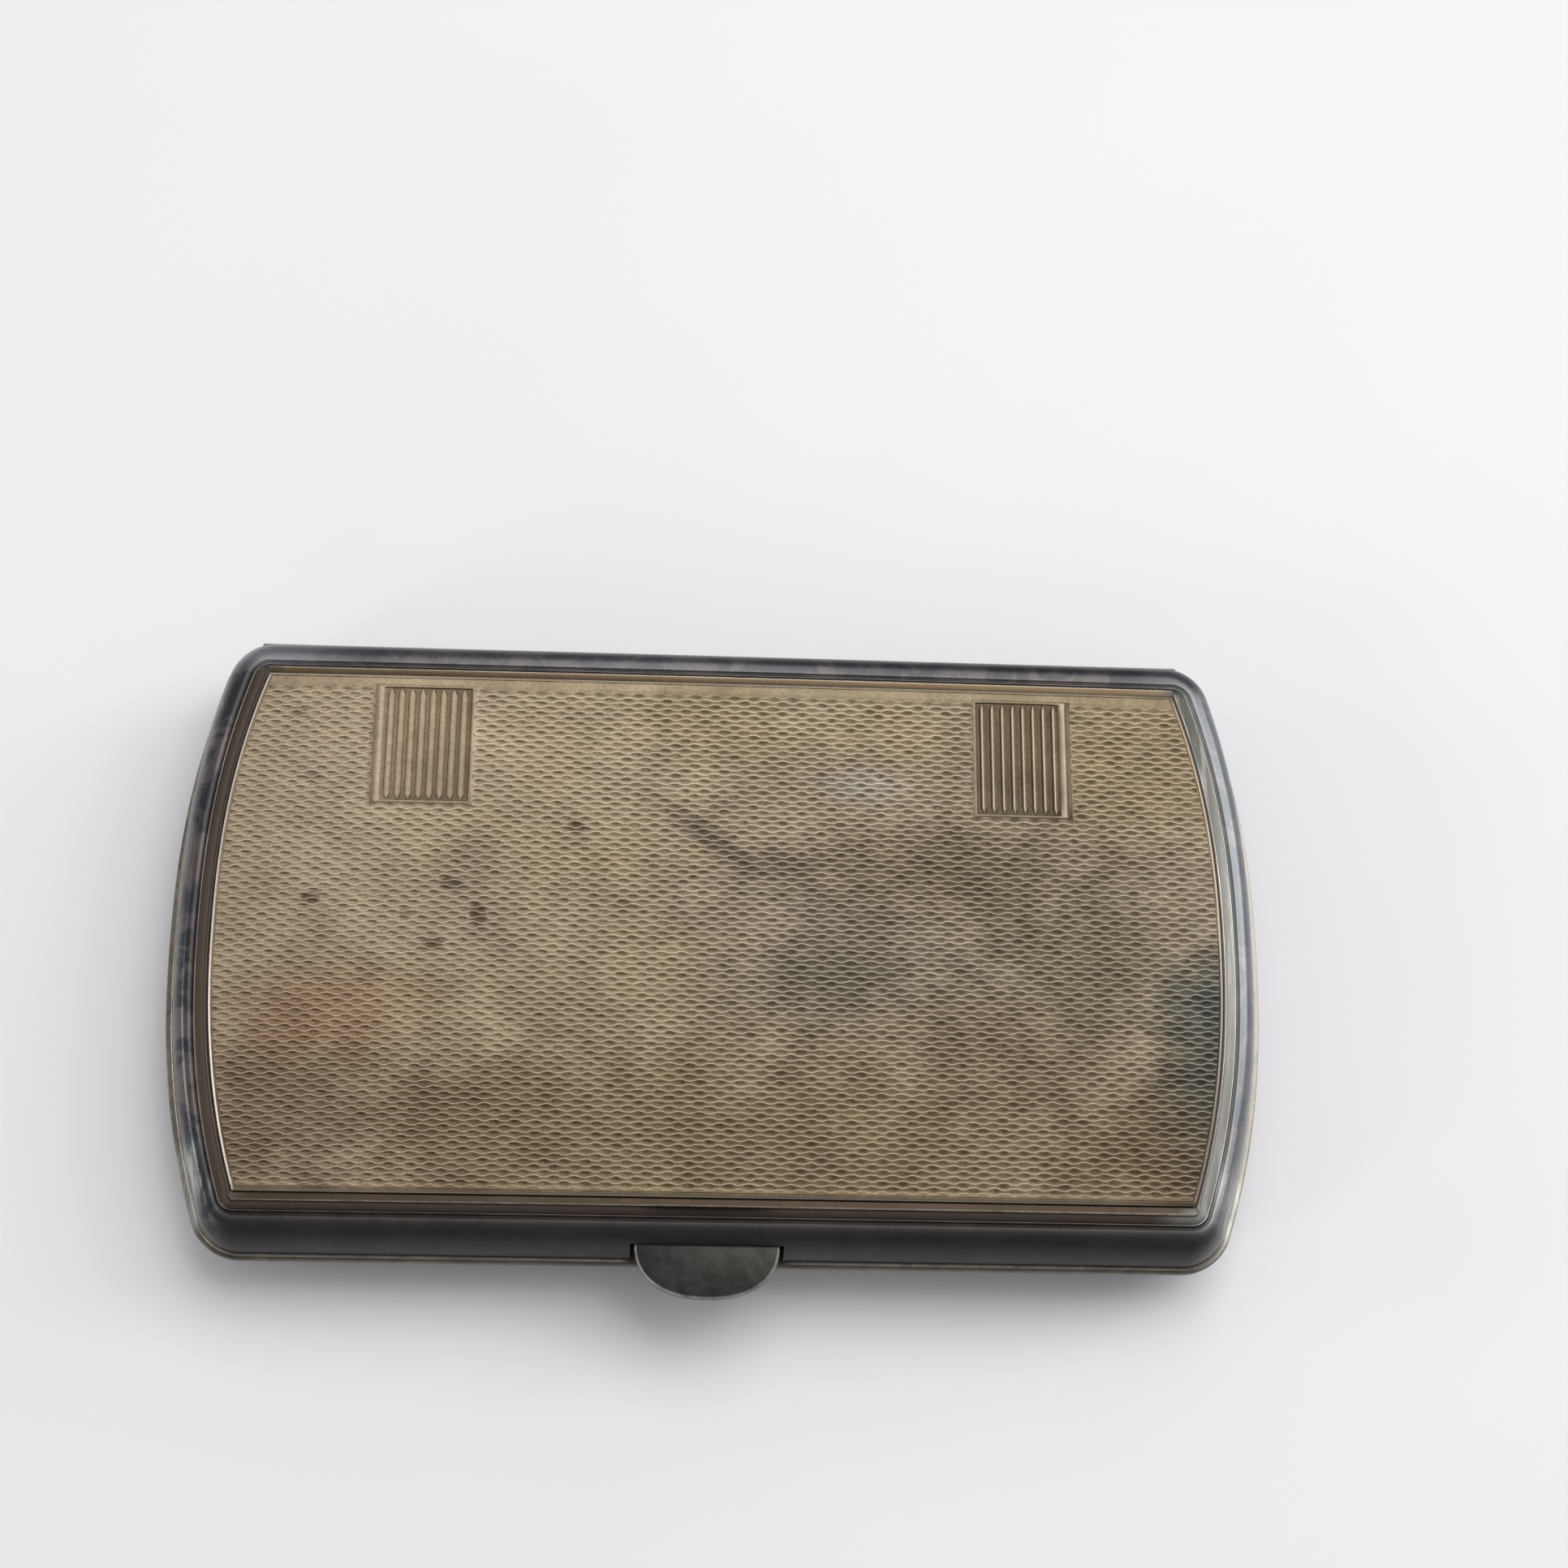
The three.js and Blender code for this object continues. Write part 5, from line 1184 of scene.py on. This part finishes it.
def thumb_mesh(material):
    """Stacked half-round levels from the foot of the block to the flat top, with its neck behind. A
    level is its height, its reach out from the plate, its half width and its wear."""
    half = THUMB_WIDTH / 2
    foot = THUMB_TOP - THUMB_LIP
    throat, lip = FRONT_LIP + 0.15, THUMB_REACH - 0.3
    levels = [(FIT_GAP, FRONT_LIP - 0.05, half, 0.1), (FIT_GAP + 0.05, FRONT_LIP, half, 0.1)]
    levels += [(THUMB_BLOCK + (foot - THUMB_BLOCK) * share, throat + (lip - throat) * share ** THUMB_UNDERCUT,
                half, 0.1) for share in np.linspace(0, 1, 10)]
    levels += [(foot + 0.1, THUMB_REACH - 0.08, half, 0.4), (foot + 0.25, THUMB_REACH, half, 0.3),
               (THUMB_TOP - 0.32, THUMB_REACH, half, 0.35)]
    levels += [(THUMB_TOP - down, THUMB_REACH - inset, half - inset, rub)
               for down, inset, rub in ((0.26, 0.02, 1), (0.04, 0.24, 1), (0, 0.32, 0.12))]
    turns = np.linspace(0, math.pi, THUMB_ARC + 1)
    bulge_x = np.sign(np.cos(turns)) * np.abs(np.cos(turns)) ** (2 / THUMB_ROUNDNESS)
    bulge_y = np.abs(np.sin(turns)) ** (2 / THUMB_ROUNDNESS)
    points, wear = [], []
    for up, reach, width, rub in levels:
        out = THUMB_INNER + (reach - THUMB_INNER) * bulge_y
        points += [(-width * bx, -PANEL_HALF_DEPTH - o, SEAM + up) for bx, o in zip(bulge_x, out)]
        wear += [rub] * len(turns)
    faces = ring_faces(len(levels), len(turns))
    faces += [tuple(len(points) + i for i in face) for face in ring_faces(2, 4)]
    for up in NECK_UP:
        points += [(side * NECK_HALF_WIDTH, y, SEAM + up) for side, y in (
            (-1, NECK_Y[0]), (1, NECK_Y[0]), (1, NECK_Y[1]), (-1, NECK_Y[1]))]
        wear += [0] * 4
    points = np.array(points) + (CATCH_CENTRE, 0, 0)
    return link_mesh("thumb_lip", points, faces, [material], marks={"wear": wear}, sharp=30.0)


thumb_silver = tarnished_silver(
    "tarnished_silver_thumb_piece", dark="#232220", patches="#2E2A25", sheen="#292A29", polish="#F4F2EA",
    front="#262522", right_ramp_reflection="#262522", glint="#262522")
thumb = thumb_mesh(thumb_silver)
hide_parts("thumb_piece")
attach(thumb, "thumb_catch")

# Catch: a steel plate behind the thumb piece, whose two noses hook over ledges soldered inside the
# cover's wall, and a leaf spring, riveted to the bezel at both ends, that pushes it outwards.
EASED_ANGLE = math.radians(40)


def eased_copy(node, name, material, width):
    """A copy of a cut sheet piece with its corners eased by a file."""
    made = bpy.data.objects.new(name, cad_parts[node].data.copy())
    bpy.context.scene.collection.objects.link(made)
    made.data.materials.clear()
    made.data.materials.append(material)
    work = bmesh.new()
    work.from_mesh(made.data)
    bmesh.ops.remove_doubles(work, verts=work.verts, dist=2e-6)
    bmesh.ops.dissolve_limit(work, angle_limit=math.radians(2), verts=work.verts, edges=work.edges)
    work.to_mesh(made.data)
    work.free()
    bevel = made.modifiers.new("eased", "BEVEL")
    bevel.width = width * MM
    bevel.segments = 2
    bevel.limit_method = "ANGLE"
    bevel.angle_limit = EASED_ANGLE
    apply_modifiers(made)
    made.data.shade_smooth()
    made.data.set_sharp_from_angle(angle=EASED_ANGLE)
    return made


for node, name, body in (
        ("catch_hook", "hook_plate", "thumb_catch"), ("catch_keeper_left", "keeper_left", "cover"),
        ("catch_keeper_right", "keeper_right", "cover")):
    made = eased_copy(node, name, steel, 0.1)
    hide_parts(node)
    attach(made, body)

SPRING_HALF_LENGTH = 28.0
SPRING_HALF_HEIGHT = 1.2
SPRING_HALF_THICKNESS = 0.2
SPRING_FACE = PANEL_HALF_DEPTH + 3.1
SPRING_MIDDLE = SEAM - 0.7 - SPRING_HALF_HEIGHT
RIVET_X = 25.0


def leaf_half(name, side):
    """Half of the leaf: a strip with rounded edges and a rounded end, from the middle outwards."""
    turns = np.linspace(0, 2 * math.pi, 16, endpoint=False)
    straight = SPRING_HALF_LENGTH - SPRING_HALF_HEIGHT
    rounded = straight + SPRING_HALF_HEIGHT * np.sin(np.linspace(0.3, 1.5, 6))
    stations = np.concatenate([np.linspace(0, straight, 41), rounded])
    points = []
    for x in stations:
        over = max(0.0, (x - straight) / SPRING_HALF_HEIGHT)
        half_height = SPRING_HALF_HEIGHT * math.sqrt(max(0.02, 1 - over ** 2))
        for t in turns:
            z = SPRING_MIDDLE + half_height * np.sign(math.cos(t)) * abs(math.cos(t)) ** 0.25
            out = SPRING_HALF_THICKNESS * np.sign(math.sin(t)) * abs(math.sin(t)) ** 0.5
            points.append((CATCH_CENTRE + side * x, -SPRING_FACE + SPRING_HALF_THICKNESS + out, z))
    return link_mesh(name, points, ring_faces(len(stations), len(turns)), [steel], sharp=40.0)


for word, side in (("left", -1), ("right", 1)):
    leaf = leaf_half(f"leaf_spring_{word}", side)
    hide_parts("catch_spring")
    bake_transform(leaf)

rivet_profile = [
    (0.0, 0.3, 0), (0.0, 0.5, 0), (1.6, 0.5, 0), (1.6, 1.12, 0), (1.66, 1.2, 0.4), (1.8, 1.16, 0.4),
    (1.95, 0.95, 0.3), (2.06, 0.6, 0.2), (2.1, 0.2, 0.2)]
rivets = turned("spring_rivets", rivet_profile, 24, steel, closed=False, sharp=50.0)
rivets.data.transform(Matrix.Rotation(math.radians(90), 4, "Z"))
rivet_start = Vector((CATCH_CENTRE - RIVET_X, -PANEL_HALF_DEPTH - BEZEL_OUTER, SPRING_MIDDLE)) * MM
run_tree(rivets, row, {
    "Count": 2, "First": rivet_start, "Step": Vector((2 * RIVET_X * MM, 0, 0)), "Finish": steel})
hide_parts("catch_rivet_left", "catch_rivet_right")
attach(rivets, "base")

# Bands: one elastic in each half holds the row of cigarettes. Rubber threads run along it under a
# woven cover, so that it is ribbed lengthwise. Its ends are crimped in folded clips on the end walls.
BAND_WIDTH = 11.0
BAND_THICKNESS = 0.8
BAND_RIBS = 9
BAND_VALLEY = 0.72


def woven_elastic():
    """Cotton woven over rubber threads: matt brown, darker between the ribs as painted shade, a fine cross
    weave, faded where it rubs.
    """
    material, tree = new_material("woven_elastic")
    place = add(tree, "ShaderNodeTexCoord").outputs["Object"]
    rib = add(tree, "ShaderNodeAttribute", attribute_name="rib").outputs["Fac"]
    weave = add(tree, "ShaderNodeTexWave", {
        "Vector": place, "Scale": 320.0, "Distortion": 0.6, "Detail": 1.0},
        bands_direction="X").outputs["Fac"]
    fuzz = add(tree, "ShaderNodeTexNoise", {"Vector": place, "Scale": 1600.0, "Detail": 4.0}).outputs["Fac"]
    threads = add(tree, "ShaderNodeMapRange", {"Value": weave, "To Min": 0.7, "To Max": 1.1}).outputs[0]
    faded = add(tree, "ShaderNodeMapRange", {
        "Value": fuzz, "From Min": 0.5, "From Max": 0.75, "To Max": 0.5}).outputs[0]
    colour = tone("#33291F")
    # The ribs' crests are lighter and the valleys between them darker: painted shade.
    for over, layer, blend in ((rib, tone("#6B5A47"), "MIX"), (1.0, threads, "MULTIPLY"),
                               (faded, tone("#8C7B66"), "MIX")):
        colour = add(tree, "ShaderNodeMix", {
            0: over, 6: colour, 7: layer}, data_type="RGBA", blend_type=blend).outputs[2]
    height = add(tree, "ShaderNodeMath", {0: weave, 1: fuzz}, operation="ADD")
    bump = add(tree, "ShaderNodeBump", {"Strength": 0.6, "Distance": 0.12 * MM, "Height": height.outputs[0]})
    shader = add(tree, "ShaderNodeBsdfPrincipled", {
        "Base Color": colour, "Roughness": 0.9, "Sheen Weight": 0.25, "Normal": bump.outputs[0]})
    add(tree, "ShaderNodeOutputMaterial", {"Surface": shader.outputs[0]})
    return material


def ribbed_band(name, half_length, top, material):
    """A flat band with rounded ribs along both faces."""
    y = np.linspace(-BAND_WIDTH / 2, BAND_WIDTH / 2, 8 * BAND_RIBS + 1)
    rib = np.abs(np.sin(np.pi * BAND_RIBS * (y / BAND_WIDTH + 0.5))) ** 0.6
    middle = top - BAND_THICKNESS / 2
    thickness = BAND_THICKNESS / 2 * (BAND_VALLEY + (1 - BAND_VALLEY) * rib)
    section = np.concatenate([np.column_stack([y, middle + thickness]),
                              np.column_stack([y, middle - thickness])[::-1]])
    rise = np.concatenate([rib, rib[::-1]])
    stations = np.linspace(-half_length, half_length, 33)
    points = np.concatenate([np.column_stack([np.full(len(section), x), section]) for x in stations])
    faces = ring_faces(len(stations), len(section))
    return link_mesh(name, points, faces, [material], marks={"rib": np.tile(rise, len(stations))}, sharp=60.0)


elastic = woven_elastic()
for body in ("base", "cover"):
    _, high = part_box(f"{body}_band")
    band = ribbed_band(f"{body}_elastic", high[0] / MM, high[2] / MM, elastic)
    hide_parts(f"{body}_band")
    for word in ("left", "right"):
        clip = eased_copy(f"{body}_band_clip_{word}", f"{body}_crimp_{word}", gilding, 0.12)
        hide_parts(f"{body}_band_clip_{word}")
        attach(clip, body)
    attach(band, body)
